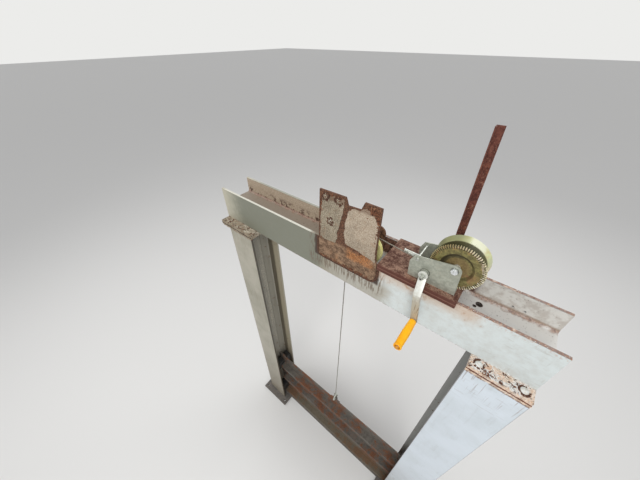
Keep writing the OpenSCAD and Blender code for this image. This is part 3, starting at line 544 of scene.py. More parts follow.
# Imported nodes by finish, each with the width by which its sharp edges are eased, in millimetres
dressed = {
    "crosshead": {"crosshead": 1.2}, "leftColumn": {"left_column": 1.2}, "rightColumn": {"right_column": 1.2},
    "darkSteel": {"left_base_plate": 2, "right_base_plate": 2, "sill": 1.5},
    "bracketRust": {"sheave_bracket": 1.5, "sheave_pin": 1}, "partRust": {"sheave_lug": 1, "pin_spacers": 0.5},
    "sheave": {"sheave": 0.6}, "baseRust": {"winch_base": 1.8}, "cheekZinc": {"winch_frame": 0.9},
    "boltZinc": {"winch_bolts": 0.6, "pinion_shaft": 0.6, "pinion": 0.3, "ratchet_wheel": 0.4, "pawl_rod": 0.4,
                 "pawl": 0.7, "crank_nut": 0.6, "shackle": 0.5},
    "headZinc": {"drum_axle": 0.6}, "gear": {"gear": 0.4}, "drum": {"drum": 0.8}, "armZinc": {"crank_arm": 1.2},
    "pin": {"grip_pin": 0.5},
    "leaf": {"leaf_skin": 1, "leaf_stiffeners": 1, "leaf_end_posts": 1, "lifting_lug": 1},
    "shoe": {"guide_shoes": 2}, "rubber": {"bottom_seal": 1.5}, "barRust": {"upright_bar": 0.6},
    "stoneFlakes": {"left_cap_plate": 1, "left_sole_plate": 1},
    "creamFlakes": {"right_cap_plate": 1, "right_sole_plate": 1},
}
bodyOf = {node: body for body, members in frame["record"]["behaviour"]["bodies"].items() for node in members}
slotOf = {part["node"]: part["material_slot"] for part in frame["record"]["subparts"]}
wheels = ("gear", "drum", "sheave", "pinion", "ratchet_wheel")
mergeWithin, flatAngle, sharpEdge = 1e-5, 0.6, 32  # metres, and degrees


def dress(node, material, width):
    shape = bmesh.new()
    shape.from_mesh(frame["nodes"][node].data)
    bmesh.ops.remove_doubles(shape, verts=shape.verts, dist=mergeWithin)
    if node not in wheels:
        bmesh.ops.dissolve_limit(shape, angle_limit=math.radians(flatAngle), verts=shape.verts, edges=shape.edges)
    piece = addPiece(node + "_dressed", shape, material, bodyOf[node], slotOf[node], sharpEdge)
    edge = piece.modifiers.new("softEdges", "BEVEL")
    edge.width = width
    edge.segments = 2
    edge.limit_method = "ANGLE"
    edge.angle_limit = math.radians(sharpEdge)
    edge.harden_normals = True
    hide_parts(node)


for material, members in dressed.items():
    for node, width in members.items():
        dress(node, material, width / 1000)
print("packed pieces dressed")


# Turn that takes the vertical to a direction
def facing(direction):
    return Vector((0, 0, 1)).rotation_difference(Vector(direction)).to_matrix().to_4x4()


# Turns an outline of (radius, distance along) about a line through base along direction
def latheShape(outline, base, direction, steps=40, shape=None):
    shape = shape or bmesh.new()
    start = [shape.verts.new((r, 0, h)) for r, h in outline]
    edges = [shape.edges.new((a, b)) for a, b in zip(start, start[1:])]
    before = set(shape.verts) - set(start)
    bmesh.ops.spin(shape, geom=start + edges, cent=(0, 0, 0), axis=(0, 0, 1), angle=math.tau, steps=steps,
                   use_merge=True)
    made = [v for v in shape.verts if v not in before]
    bmesh.ops.remove_doubles(shape, verts=made, dist=1e-7)
    made = [v for v in shape.verts if v not in before]
    faces = list({f for v in made for f in v.link_faces})
    bmesh.ops.recalc_face_normals(shape, faces=faces)
    bmesh.ops.transform(shape, matrix=Matrix.Translation(base) @ facing(direction), verts=made)
    return shape


def addLine(name, points, flat=False, closed=False):
    curve = bpy.data.curves.new(name, "CURVE")
    curve.dimensions = "2D" if flat else "3D"
    curve.use_fill_caps = not flat
    line = curve.splines.new("POLY")
    line.points.add(len(points) - 1)
    for point, place in zip(line.points, points):
        point.co = (*place, 1)
    line.use_cyclic_u = closed
    holder = bpy.data.objects.new(name, curve)
    scene.collection.objects.link(holder)
    return holder, line.points


def meshOf(line, *helpers):
    bpy.context.view_layer.update()
    mesh = bpy.data.meshes.new_from_object(line.evaluated_get(bpy.context.evaluated_depsgraph_get()))
    for helper in (line, *helpers):
        bpy.data.objects.remove(helper)
    return mesh


def straightPoints(start, end, spacing):
    start, end = Vector(start), Vector(end)
    count = max(2, round((end - start).length / spacing))
    return [start.lerp(end, i / count) for i in range(count + 1)]


# Wire rope: strands stand out round the core and turn once in each lay
ropeLook = {"radius": 0.0025, "strands": 6, "lay": 0.034, "ring": 0.0035, "around": 24, "core": 0.84}
ropePath = {"y": 0.0075, "sheave": (0.08, 2.511), "sheaveR": 0.08, "drum": (0.437, 2.6105), "runR": 0.0551205,
            "lift": 1.1, "wrapR": 0.0498, "coils": 6, "arcSteps": 34, "turnSteps": 96, "buried": (0.0305, 0.0478)}


def strandedRope(name, points, body, closed=False, look=ropeLook):
    lobes = []
    for i in range(look["around"]):
        a = math.tau * i / look["around"]
        r = look["radius"] * (look["core"] + (1 - look["core"]) * abs(math.cos(look["strands"] * a / 2)))
        lobes.append((r * math.cos(a), r * math.sin(a), 0))
    ring, _ = addLine(name + "Lobes", lobes, True, True)
    path, along = addLine(name + "Path", points, False, closed)
    path.data.bevel_mode = "OBJECT"
    path.data.bevel_object = ring
    travelled = 0
    for i, point in enumerate(along):
        travelled += (Vector(points[i]) - Vector(points[i - 1])).length if i else 0
        point.tilt = math.tau * travelled / look["lay"]
    return addPiece(name, meshOf(path, ring), "rope", body, "wire_rope", 180)


def onWheel(wheel, radius, angle, y=ropePath["y"]):
    x, z = ropePath[wheel]
    return Vector((x + radius * math.cos(angle), y, z + radius * math.sin(angle)))


fallLow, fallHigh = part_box("rope_fall")
fallEnds = [(0, ropePath["y"], z) for z in (fallLow.z, fallHigh.z)]
fall = strandedRope("rope_fall_strands", straightPoints(*fallEnds, ropeLook["ring"]), "portal")
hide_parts("rope_fall")
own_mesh(fall)

# from the drum's underside over the sheave, in one line
gapX, gapZ = (s - d for s, d in zip(ropePath["sheave"], ropePath["drum"]))
span, radii = math.hypot(gapX, gapZ), ropePath["runR"] + ropePath["sheaveR"]
runAngle = math.atan2(gapZ, gapX) + math.tau - math.asin(radii / span)
runStart = onWheel("drum", ropePath["runR"], runAngle + math.pi / 2)
runEnd = runStart + math.sqrt(span ** 2 - radii ** 2) * Vector((math.cos(runAngle), 0, math.sin(runAngle)))
overPoints = straightPoints(runStart, runEnd, ropeLook["ring"])
arrive = runAngle - math.pi / 2
for i in range(1, ropePath["arcSteps"] + 1):
    a = arrive + (math.pi - arrive) * i / ropePath["arcSteps"]
    overPoints.append(onWheel("sheave", ropePath["sheaveR"], a))
over = strandedRope("rope_over_sheave_strands", overPoints, "portal")
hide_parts("rope_run", "rope_over_sheave")

# coils on the drum over the buried layers
wrapLow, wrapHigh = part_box("rope_wraps")
coilStart, coilEnd = wrapLow.y + ropeLook["radius"], wrapHigh.y - ropeLook["radius"]
coilPoints = []
coilSteps = ropePath["turnSteps"] * ropePath["coils"]
for i in range(coilSteps + 1):
    a = math.tau * i / ropePath["turnSteps"] - math.pi / 2
    coilPoints.append(onWheel("drum", ropePath["wrapR"], a, coilStart + (coilEnd - coilStart) * i / coilSteps))
coil = strandedRope("rope_coil", coilPoints, "drum")
inner, outer = ropePath["buried"]
wide = wrapHigh.y - wrapLow.y
buried = latheShape([(inner, 0), (outer, 0), (outer, wide), (inner, wide), (inner, 0)],
                    (ropePath["drum"][0], wrapLow.y, ropePath["drum"][1]), (0, 1, 0), 64)
addPiece("rope_buried_layers", buried, "darkWire", "drum", "wire_rope")
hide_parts("rope_wraps")

# eye round the shackle with a pressed ferrule
eyeLook = {"radius": 0.014, "steps": 40,
           "ferrule": [(0, 0), (0.004, 0), (0.0048, 0.002), (0.0048, 0.009), (0.0044, 0.010), (0.0048, 0.011),
                       (0.0048, 0.020), (0.0044, 0.021), (0.0048, 0.022), (0.0048, 0.032), (0.0036, 0.0345),
                       (0, 0.0345)]}
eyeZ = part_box("rope_eye")[0].z + eyeLook["radius"] + ropeLook["radius"]
loopPoints = []
for i in range(eyeLook["steps"]):
    a = math.tau * i / eyeLook["steps"]
    loopPoints.append((eyeLook["radius"] * math.cos(a), ropePath["y"], eyeZ + eyeLook["radius"] * math.sin(a)))
eye = strandedRope("rope_eye_loop", loopPoints, "leaf", True)
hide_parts("rope_eye")
ferrule = latheShape(eyeLook["ferrule"], (0, ropePath["y"], eyeZ + eyeLook["radius"] - 0.001), (0, 0, 1), 28)
addPiece("rope_ferrule", ferrule, "boltZinc", "leaf", "wire_rope")
print("rope laid: fall, run, coil and eye")

# Grip, with flutes that fade out towards both ends
gripShape = {"flutes": 8, "depth": 0.0006, "front": -0.087, "fluted": (0.010, 0.124), "fade": 0.012, "core": 0.009,
             "profile": [(0.0052, 0), (0.0118, 0), (0.0136, 0.0018), (0.0142, 0.006), (0.0143, 0.016), (0.0150, 0.032),
                         (0.0157, 0.050), (0.0160, 0.068), (0.0158, 0.086), (0.0153, 0.104), (0.0148, 0.118),
                         (0.0145, 0.126), (0.0150, 0.130), (0.0158, 0.1335), (0.0157, 0.1365), (0.0148, 0.138),
                         (0.0118, 0.138), (0.0106, 0.1368), (0.0102, 0.131), (0.0058, 0.1305), (0.0052, 0.1305),
                         (0.0052, 0)]}
gripLow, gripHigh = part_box("grip")
gripX, gripZ = (gripLow.x + gripHigh.x) / 2, (gripLow.z + gripHigh.z) / 2
grip = latheShape(gripShape["profile"], (gripX, gripShape["front"], gripZ), (0, -1, 0), 64)
fluteStart, fluteEnd = gripShape["fluted"]
for vert in grip.verts:
    along = gripShape["front"] - vert.co.y
    radial = Vector((vert.co.x - gripX, 0, vert.co.z - gripZ))
    if fluteStart < along < fluteEnd and radial.length > gripShape["core"]:
        fade = min(1, (along - fluteStart) / gripShape["fade"], (fluteEnd - along) / gripShape["fade"])
        wave = 0.5 - 0.5 * math.cos(gripShape["flutes"] * math.atan2(radial.z, radial.x))
        vert.co -= radial.normalized() * gripShape["depth"] * fade * wave
gripPiece = addPiece("grip_moulded", grip, "grip", "grip", "grip_plastic", 40)
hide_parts("grip")
print("grip turned")

jointBolts = {
    "head": 0.0126, "dome": 0.0072, "collar": 0.0015, "ring": 0.0205, "ringT": 0.0018, "ringHole": 0.006,
    "chamfer": 0.0015, "eatenScale": 2.1, "eatenIn": 0.1, "eatenDown": 0.0022, "nut": 0.0139, "nutH": 0.0128,
    "shank": 0.008, "threads": 9, "pitch": 0.002, "threadDepth": 0.0009, "tip": 0.0066, "tail": 0.0188,
    "top": 2.3, "under": 2.272, "steps": 28,
    "places": {"right": [(0.63, -0.072), (0.77, -0.072), (0.63, 0.06), (0.77, 0.06)],
               "left": [(-0.84, -0.072), (-0.64, -0.072), (-0.84, 0.06), (-0.64, 0.06)]},
}


def domedHead(shape, base, direction, radius, height, collar, around, steps=7):
    ball = (radius ** 2 + height ** 2) / (2 * height)
    reach = math.asin(radius / ball)
    outline = [(0, 0), (radius, 0), (radius, collar)]
    for i in range(1, steps + 1):
        a = reach * (1 - i / steps)
        outline.append((ball * math.sin(a), ball * math.cos(a) - (ball - height) + collar))
    latheShape(outline, base, direction, around, shape)


def hexNut(shape, centre, direction, radius, height):
    middle, along = Vector(centre) + Vector(direction) * height / 2, Vector(direction)
    made = bmesh.ops.create_cone(shape, cap_ends=True, segments=6, radius1=radius, radius2=radius, depth=height,
                                 matrix=Matrix.Translation(middle) @ facing(direction))
    edges = {e for v in made["verts"] for e in v.link_edges
             if abs((e.verts[0].co - e.verts[1].co).normalized().dot(along)) < 0.5}
    bmesh.ops.bevel(shape, geom=list(edges), offset=radius * 0.1, offset_type="OFFSET", segments=2, profile=0.5,
                    affect="EDGES", material=-1)


# outline of one washer, and of a threaded tail below its nut
ring, ringT, hole, shank, pitch = (jointBolts[k] for k in ("ring", "ringT", "ringHole", "shank", "pitch"))
washer = [(hole, 0), (ring, 0), (ring, ringT * 0.6), (ring - jointBolts["chamfer"], ringT), (hole, ringT), (hole, 0)]
tail = [(0, 0), (shank, 0)]
for i in range(jointBolts["threads"]):
    tail += [(shank - jointBolts["threadDepth"], pitch * (i + 0.4)), (shank, pitch * (i + 0.9))]
tail += [(jointBolts["tip"], jointBolts["tail"]), (0, jointBolts["tail"])]
for side, places in jointBolts["places"].items():
    heads, rings, under = bmesh.new(), bmesh.new(), bmesh.new()
    for x, y in places:
        domedHead(heads, (x, y, jointBolts["top"] + ringT), (0, 0, 1), jointBolts["head"], jointBolts["dome"],
                  jointBolts["collar"], jointBolts["steps"])
        before = set(rings.verts)
        latheShape(washer, (x, y, jointBolts["top"]), (0, 0, 1), jointBolts["steps"], rings)
        for vert in set(rings.verts) - before:  # rust has eaten the washer's edge, on each one elsewhere
            away = Vector((vert.co.x - x, vert.co.y - y, 0))
            wave = noise.noise(away.normalized() * jointBolts["eatenScale"] + Vector((x * 31, y * 17, 4)))
            vert.co += away * (jointBolts["eatenIn"] * wave)
            vert.co.z -= jointBolts["eatenDown"] * max(0, wave + 0.08)
        hexNut(under, (x, y, jointBolts["under"]), (0, 0, -1), jointBolts["nut"], jointBolts["nutH"])
        latheShape(tail, (x, y, jointBolts["under"]), (0, 0, -1), 24, under)
    finish = "bolt" if side == "right" else "stoneFlakes"
    piece = addPiece(side + "_bolt_heads", heads, finish, "portal", "white_paint", 50)
    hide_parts(side + "_joint_bolts")
    addPiece(side + "_bolt_rings", rings, "ring", "portal", "white_paint", 40)
    addPiece(side + "_bolt_nuts", under, "weld", "portal", "white_paint", 40)
print("joint bolts set")

# Two broken cement skins on the bracket, outlined in millimetres
cementSkins = {
    "seed": 11, "cell": 3.2, "front": -0.053, "thick": 3.4, "margin": 4, "edge": 7, "edgeCurve": 0.45, "skirt": 0.25,
    "inset": 1.5, "wobble": [(0.05, 4), (0.2, 2.5)], "bumps": [(0.045, 0.5), (0.16, 0.35)], "level": 0.86,
    "swing": 0.28,
    "plate": [(-123, 2399), (155, 2401), (175, 2418), (181, 2449), (167, 2546), (164, 2757), (93, 2757), (80, 2722),
              (24, 2718), (12, 2750), (-114, 2747)],
    "panels": {
        "left": [(-112, 2512), (-70, 2508), (-30, 2512), (-18, 2540), (-18, 2585), (-4, 2632), (8, 2690), (13, 2742),
                 (-40, 2739), (-98, 2730), (-106, 2665), (-113, 2610)],
        "right": [(24, 2532), (90, 2524), (171, 2508), (166, 2560), (163, 2650), (160, 2690), (142, 2722), (104, 2742),
                  (80, 2724), (44, 2716), (28, 2698), (15, 2645), (13, 2590)],
    },
}


def insideOutline(x, z, outline):
    inside = False
    for (x0, z0), (x1, z1) in zip(outline, outline[1:] + outline[:1]):
        if (z0 > z) != (z1 > z) and x < (x1 - x0) * (z - z0) / (z1 - z0) + x0:
            inside = not inside
    return inside


def edgeDistance(x, z, outline):
    best = 1e9
    point = Vector((x, z))
    for a, b in zip(outline, outline[1:] + outline[:1]):
        a, b = Vector(a), Vector(b)
        t = max(0, min(1, (point - a).dot(b - a) / (b - a).length_squared))
        best = min(best, (point - a.lerp(b, t)).length)
    return best


# Sideways shift of a point, the same in each run
def wobbleAt(x, z, scale, seed):
    at = Vector((x, seed, z)) * scale
    return Vector((noise.noise(at), 0, noise.noise(at + Vector((37.2, 0, 11.7)))))


def skinPanel(name, outline, look):
    plate, seed, margin = look["plate"], look["seed"], look["margin"]
    lowX, highX = min(p[0] for p in outline) - margin, max(p[0] for p in outline) + margin
    lowZ, highZ = min(p[1] for p in outline) - margin, max(p[1] for p in outline) + margin
    shape = bmesh.new()
    bmesh.ops.create_grid(shape, x_segments=round((highX - lowX) / look["cell"]),
                          y_segments=round((highZ - lowZ) / look["cell"]), size=0.5)
    for vert in shape.verts:
        vert.co = (lowX + (vert.co.x + 0.5) * (highX - lowX), 0, lowZ + (vert.co.y + 0.5) * (highZ - lowZ))
    doomed = []
    for vert in shape.verts:
        atX, atZ = vert.co.x, vert.co.z
        wobble = sum((wobbleAt(atX, atZ, scale, seed) * size for scale, size in look["wobble"]), Vector())
        x, z = atX + wobble.x, atZ + wobble.z
        onPlate = insideOutline(atX, atZ, plate) and edgeDistance(atX, atZ, plate) > look["inset"]
        if not (onPlate and insideOutline(x, z, outline)):
            doomed.append(vert)
            continue
        rise = min(1, edgeDistance(x, z, outline) / look["edge"]) ** look["edgeCurve"]
        bumps = sum(noise.noise(vert.co * scale) * size for scale, size in look["bumps"])
        vert.co.y = -look["thick"] * rise * (look["level"] + look["swing"] * bumps)
    bmesh.ops.delete(shape, geom=doomed, context="VERTS")
    skirt = bmesh.ops.extrude_edge_only(shape, edges=[e for e in shape.edges if e.is_boundary])["geom"]
    for vert in (g for g in skirt if isinstance(g, bmesh.types.BMVert)):
        vert.co.y = look["skirt"]
    bmesh.ops.holes_fill(shape, edges=[e for e in shape.edges if e.is_boundary], sides=0)
    millimetre = Matrix.Scale(0.001, 4)
    bmesh.ops.transform(shape, matrix=Matrix.Translation((0, look["front"], 0)) @ millimetre, verts=shape.verts)
    bmesh.ops.recalc_face_normals(shape, faces=shape.faces)
    return addPiece(name, shape, "cement", "portal", "rusty_steel", 60)


for side, outline in cementSkins["panels"].items():
    skinPanel("cement_skin_" + side, outline, cementSkins)

bracketBolts = {"places": [(-0.081, 2.724), (-0.018, 2.724), (-0.056, 2.616)], "face": -0.053, "back": -0.045,
                "head": 0.0108, "dome": 0.006, "collar": 0.0012, "seat": 0.0022, "nutH": 0.0084,
                "crust": (0.011, 0.02), "crustY": -0.0558,
                "washer": [(0, 0), (0.0165, 0), (0.0158, 0.0026), (0, 0.0026)],
                "tail": [(0, 0), (0.006, 0), (0.006, 0.0115), (0.0052, 0.0124), (0, 0.0124)]}
heads = bmesh.new()
face, back, size = bracketBolts["face"], bracketBolts["back"], bracketBolts["head"]
for x, z in bracketBolts["places"]:
    domedHead(heads, (x, face - bracketBolts["seat"], z), (0, -1, 0), size, bracketBolts["dome"],
              bracketBolts["collar"], 24)
    latheShape(bracketBolts["washer"], (x, face, z), (0, -1, 0), 17, heads)
    hexNut(heads, (x, back, z), (0, 1, 0), size, bracketBolts["nutH"])
    latheShape(bracketBolts["tail"], (x, back, z), (0, 1, 0), 20, heads)
headPiece = addPiece("bracket_bolts_rusted", heads, "stud", "portal", "rusty_steel", 45)
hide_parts("bracket_bolts")
print("bracket skinned and bolted")


# A fixed value, a (low, high) range, a place of three such, or a list that is drawn whole before one is chosen
def drawn(maker, value):
    if isinstance(value, list):
        return maker.choice([drawn(maker, v) for v in value])
    if isinstance(value, tuple):
        return maker.uniform(*value) if len(value) == 2 else tuple(drawn(maker, v) for v in value)
    return value


def boltCrustSpot(maker):
    x, z = maker.choice(bracketBolts["places"])
    a, r = maker.uniform(0, math.tau), maker.uniform(*bracketBolts["crust"])
    return (x + r * math.cos(a), bracketBolts["crustY"], z + r * math.sin(a))


scaleLook = {"corners": (5, 8), "ragged": (0.6, 1.2), "long": (0.9, 1.5), "height": (0.5, 1.2), "top": 0.86,
             "lean": (-0.06, 0.06)}


# Thin broken scales lying on a surface, as one joined mesh
def scatterScales(name, seed, count, spots, up, sizes, thick, material, slotName="rusty_steel"):
    maker = random.Random(seed)
    shape = bmesh.new()
    turn = facing(up)
    for _ in range(count):
        place = spots(maker) if callable(spots) else drawn(maker, spots)
        size = maker.uniform(*sizes)
        corners = maker.randint(*scaleLook["corners"])
        verts = bmesh.ops.create_circle(shape, cap_ends=True, segments=corners, radius=size)["verts"]
        for vert in verts:
            vert.co *= maker.uniform(*scaleLook["ragged"])
            vert.co.x *= maker.uniform(*scaleLook["long"])
        lifted = bmesh.ops.extrude_face_region(shape, geom=[verts[0].link_faces[0]])["geom"]
        topVerts = [g for g in lifted if isinstance(g, bmesh.types.BMVert)]
        bmesh.ops.translate(shape, vec=(0, 0, maker.uniform(*scaleLook["height"]) * thick), verts=topVerts)
        for vert in topVerts:
            vert.co.xy *= scaleLook["top"]
        lean = scaleLook["lean"]
        tilt = Euler((maker.uniform(*lean), maker.uniform(*lean), maker.uniform(0, math.tau)))
        matrix = Matrix.Translation(place) @ turn @ tilt.to_matrix().to_4x4()
        bmesh.ops.transform(shape, matrix=matrix, verts=verts + topVerts)
    bmesh.ops.recalc_face_normals(shape, faces=shape.faces)
    return addPiece(name, shape, material, "portal", slotName, 25)


# how many, where, which way up, size, thickness, finish, and the slot if not rusty_steel
scaleGroups = {
    "right_plate_scales": (190, ((0.604, 0.796), (-0.098, -0.047), 2.2998), (0, 0, 1), (0.003, 0.009), 0.0016,
                           "creamFlakes"),
    "left_plate_scales": (200, ((-0.862, -0.604), (-0.098, -0.047), 2.2998), (0, 0, 1), (0.006, 0.015), 0.0034,
                          "stoneFlakes"),
    "left_edge_scales": (150, ((-0.866, -0.604), -0.0996, (2.276, 2.298)), (0, -1, 0), (0.005, 0.011), 0.0026,
                         "stoneFlakes"),
    "right_edge_scales": (120, ((0.602, 0.798), -0.0998, (2.274, 2.298)), (0, -1, 0), (0.003, 0.006), 0.0012,
                          "creamFlakes"),
    "flange_top_scales": (90, ((0.49, 0.795), [(-0.044, -0.034), (0.144, 0.154)], 2.4998), (0, 0, 1),
                          (0.0009, 0.00192), 0.0006, "creamFlakes", "white_paint"),
    "bracket_top_scales": (130, [((0.108, 0.156), -0.053, (2.69, 2.749)), ((0.12, 0.156), -0.053, (2.72, 2.749)),
                                 ((0.152, 0.157), -0.053, (2.6, 2.74))], (0, -1, 0), (0.0022, 0.0055), 0.0026,
                           "rustFlakes"),
    "bracket_left_crust": (150, [((-0.107, -0.099), -0.053, (2.5, 2.735)), ((-0.106, 0.002), -0.053, (2.73, 2.74)),
                                 ((-0.112, 0.145), -0.053, (2.405, 2.413))], (0, -1, 0), (0.002, 0.005), 0.0026,
                           "rustFlakes"),
    "bracket_bolt_crust": (80, boltCrustSpot, (0, -1, 0), (0.002, 0.0045), 0.0026, "ring"),
}
for seed, (name, group) in enumerate(scaleGroups.items(), 3):
    scatterScales(name, seed, *group)
print("scales scattered")


beadLook = {"spacing": 0.9, "thin": 0.82, "ripple": 0.22, "uneven": 0.25, "pace": 0.37}


def weldBead(name, points, radius, material, slotName, seed, body="portal"):
    fine = []
    for a, b in zip(points, points[1:]):
        fine += straightPoints(a, b, radius * beadLook["spacing"])[:-1]
    fine.append(Vector(points[-1]))
    line, along = addLine(name, fine)
    line.data.bevel_depth = radius
    line.data.bevel_resolution = 2
    for i, point in enumerate(along):
        wander = beadLook["uneven"] * noise.noise(Vector((i * beadLook["pace"], seed, 0)))
        point.radius = beadLook["thin"] + beadLook["ripple"] * (i % 2) + wander
    return addPiece(name, meshOf(line), material, body, slotName, 70)


welds = {
    "crosshead_weld_right": ([(0.604, -0.0455, 2.3005), (0.799, -0.0455, 2.3005)], 0.0034, "paintedWeld",
                             "white_paint"),
    "crosshead_weld_left": ([(-0.876, -0.0455, 2.3005), (-0.604, -0.0455, 2.3005)], 0.0034, "weld", "white_paint"),
    "bracket_weld": ([(x, -0.0475, z) for x, z in ((-0.1275, 2.498), (-0.1275, 2.425), (-0.1245, 2.408),
                                                   (-0.115, 2.398), (-0.098, 2.395), (0.15, 2.395), (0.168, 2.4),
                                                   (0.18, 2.415), (0.185, 2.445), (0.1845, 2.47))],
                     0.0062, "ring", "rusty_steel"),
    "lug_weld": ([(0.045, 0.134, 2.44), (0.045, 0.1425, 2.44), (0.115, 0.1425, 2.44), (0.115, 0.134, 2.44)], 0.003,
                 "weld", "rusty_steel"),
    "base_weld_front": ([(0.18, -0.0455, 2.4775), (0.482, -0.0455, 2.4775)], 0.003, "ring", "rusty_steel"),
    "bar_weld": ([(0.3845, 0.138, 2.508), (0.3845, 0.1625, 2.508)], 0.0026, "ring", "rusty_steel"),
}
for name, weld in welds.items():
    weldBead(name, *weld, len(name))

# round the foot of each column's H section
footWelds = {"left": -0.7, "right": 0.7, "half": 0.1, "flange": 0.012, "web": 0.004, "z": 0.0205, "radius": 0.005}
h, f, w = (footWelds[k] for k in ("half", "flange", "web"))
half = [(h, -h), (h, -h + f), (w, -h + f), (w, h - f), (h, h - f), (h, h)]
section = half + [(-x, -y) for x, y in half] + half[:1]
for side in ("left", "right"):
    points = [(footWelds[side] + x, y, footWelds["z"]) for x, y in section]
    weldBead(side + "_foot_weld", points, footWelds["radius"], "darkSteel", "dark_steel", 7)

leafWelds = {"half": 0.622, "radius": 0.0028, "lowShelf": 0.040, "topShelf": 0.108}
skinLow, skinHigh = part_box("leaf_skin")
shelves = [skinLow.z + leafWelds["lowShelf"], (skinLow.z + skinHigh.z) / 2, skinHigh.z - leafWelds["topShelf"]]
for i, z in enumerate(shelves):
    points = [(end * leafWelds["half"], skinLow.y, z) for end in (-1, 1)]
    weldBead("shelf_weld_" + str(i), points, leafWelds["radius"], "leaf", "dark_steel", i, "leaf")
print("welds run")

# silt fills the small holes through web and rear flange, dark also as painted shade for the holes' insides
siltHoles = [((0.554, 0.101, 2.3965), (0, 0, 1), 0.0089), ((0.541, 0.083, 2.3965), (0, 0, 1), 0.0034),
             ((0.651, 0.151, 2.429), (0, -1, 0), 0.0039), ((0.690, 0.151, 2.429), (0, -1, 0), 0.0039)]
siltShade = bmesh.new()
for base, direction, r in siltHoles:
    latheShape([(0, 0), (r, 0), (r, 0.0022), (r * 0.7, 0.0032), (r * 0.3, 0.0024), (0, 0.0027)], base, direction, 20,
               siltShade)
addPiece("hole_silt_and_shade", siltShade, "siltShade", "portal", "rusty_steel", 50)

# painted shade: a dark disc on the crank shaft's end for the dark centre of its socket
crankEnd = {"x": 0.35136, "z": 2.55053, "front": min(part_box("crank_nut")[0].y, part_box("pinion_shaft")[0].y)}
socket = latheShape([(0, 0), (0.0034, 0), (0.0034, 0.0003), (0.0024, 0.0007), (0, 0.0004)],
                    (crankEnd["x"], crankEnd["front"], crankEnd["z"]), (0, -1, 0), 20)
addPiece("crank_end_socket", socket, "siltShade", "crank", "zinc_plate", 50)

# the pawl's tail ends in a thread with two nuts
pawlTail = {"at": (0.31386, -0.0135, 2.6), "start": 0.026, "end": 0.055, "core": 0.0042, "crest": 0.0052,
            "pitch": 0.002, "plain": 0.003, "tip": 0.0034, "nuts": [(0.026, 0.0062, 0.006), (0.034, 0.0058, 0.005)]}
start, end, core, pitch = (pawlTail[k] for k in ("start", "end", "core", "pitch"))
tailOutline = [(0, start), (core, start)]
for i in range(int((end - start - pawlTail["plain"]) / pitch)):
    tailOutline += [(pawlTail["crest"], start + pitch * (i + 0.5)), (core, start + pitch * (i + 1))]
tailOutline += [(pawlTail["tip"], end), (0, end)]
tail = latheShape(tailOutline, pawlTail["at"], (-1, 0, 0), 20)
for back, radius, height in pawlTail["nuts"]:
    hexNut(tail, Vector(pawlTail["at"]) - Vector((back, 0, 0)), (-1, 0, 0), radius, height)
addPiece("pawl_tail_thread", tail, "boltZinc", "pawl", "zinc_plate", 40)

# bolts that hold the shoes and the seal
leafBolts = {"head": (0.0085, 0.006), "shoeX": 0.605, "shoeZ": (0.02, 0.07), "sealX": -0.56, "pitch": 0.14, "count": 9,
             "sealZ": 0.016}
boltShape = bmesh.new()
shoeLow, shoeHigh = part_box("guide_shoes")
near, far = leafBolts["shoeZ"]
for x in (-leafBolts["shoeX"], leafBolts["shoeX"]):
    for z in (shoeLow.z + near, shoeLow.z + far, shoeHigh.z - near, shoeHigh.z - far):
        hexNut(boltShape, (x, skinLow.y, z), (0, -1, 0), *leafBolts["head"])
for i in range(leafBolts["count"]):
    x, z = leafBolts["sealX"] + leafBolts["pitch"] * i, skinLow.z + leafBolts["sealZ"]
    hexNut(boltShape, (x, skinLow.y, z), (0, -1, 0), *leafBolts["head"])
    hexNut(boltShape, (x, skinHigh.y, z), (0, 1, 0), *leafBolts["head"])
addPiece("leaf_bolts", boltShape, "weld", "leaf", "dark_steel", 40)
print("leaf bolted")

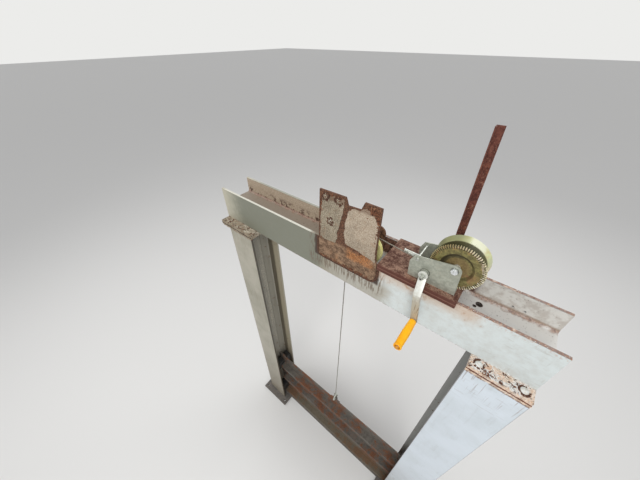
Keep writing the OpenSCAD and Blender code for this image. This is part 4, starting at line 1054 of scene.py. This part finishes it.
# Studio: a wide pale floor, three soft lamps and a plain sky
studio = {"floor": "deddda", "wide": 60.0, "sky": "f6f7fa", "skyLight": 0.62, "seenSky": "ececea",
          "lamps": [("skyFront", (1.6, -3.2, 5.4), (0.35, 0, 2.0), 150, 3.2),
                    ("skyLeft", (-3.8, -1.6, 4.6), (-0.2, 0, 1.8), 60, 3.0),
                    ("skyBack", (0.5, 3.8, 4.8), (0, 0, 1.8), 70, 3.2)]}
floorShape = bmesh.new()
bmesh.ops.create_grid(floorShape, x_segments=1, y_segments=1, size=studio["wide"])
floorMesh = bpy.data.meshes.new("studioFloor")
floorShape.to_mesh(floorMesh)
floorShape.free()
studioFloor = bpy.data.objects.new("studioFloor", floorMesh)
scene.collection.objects.link(studioFloor)
startMaterial("paleFloor")
coat["colour"] = studio["floor"]
floorMesh.materials.append(finishSurface(0.9))

scene.world = bpy.data.worlds.new("paleStudio")
scene.world.use_nodes = True
coat["tree"] = scene.world.node_tree
coat["tree"].nodes.clear()
ray = addNode("LightPath").outputs
seen = either(ray["Is Camera Ray"], ray["Is Glossy Ray"], ray["Is Transmission Ray"])
skyLight = addNode("Background", {"Color": studio["sky"], "Strength": studio["skyLight"]}).outputs[0]
seenSky = addNode("Background", {"Color": studio["seenSky"], "Strength": 1.0}).outputs[0]
addNode("OutputWorld", {"Surface": addNode("MixShader", {0: seen, 1: skyLight, 2: seenSky}).outputs[0]})

for name, place, aim, watts, size in studio["lamps"]:
    lamp = bpy.data.lights.new(name, "AREA")
    lamp.energy = watts
    lamp.size = size
    lampObject = bpy.data.objects.new(name, lamp)
    lampObject.location = place
    lampObject.rotation_euler = (Vector(aim) - Vector(place)).to_track_quat("-Z", "Y").to_euler()
    scene.collection.objects.link(lampObject)
scene.view_settings.view_transform = "Standard"

cameraView = {"place": (0.4760, -0.7766, 3.2296), "pan": 38.707, "tilt": 51.466, "roll": 0.344, "lens": 14.666}
cameraData = bpy.data.cameras.new("photoView")
cameraData.lens = cameraView["lens"]
cameraData.sensor_width = 36
cameraData.clip_start = 0.01
camera = bpy.data.objects.new("photoView", cameraData)
scene.collection.objects.link(camera)
turned = Matrix.Translation(cameraView["place"])
for angle, axis in (("pan", "Z"), ("tilt", "X"), ("roll", "Y")):
    turned = turned @ Matrix.Rotation(math.radians(cameraView[angle]), 4, axis)
camera.matrix_world = turned
scene.camera = camera
print("studio lit")
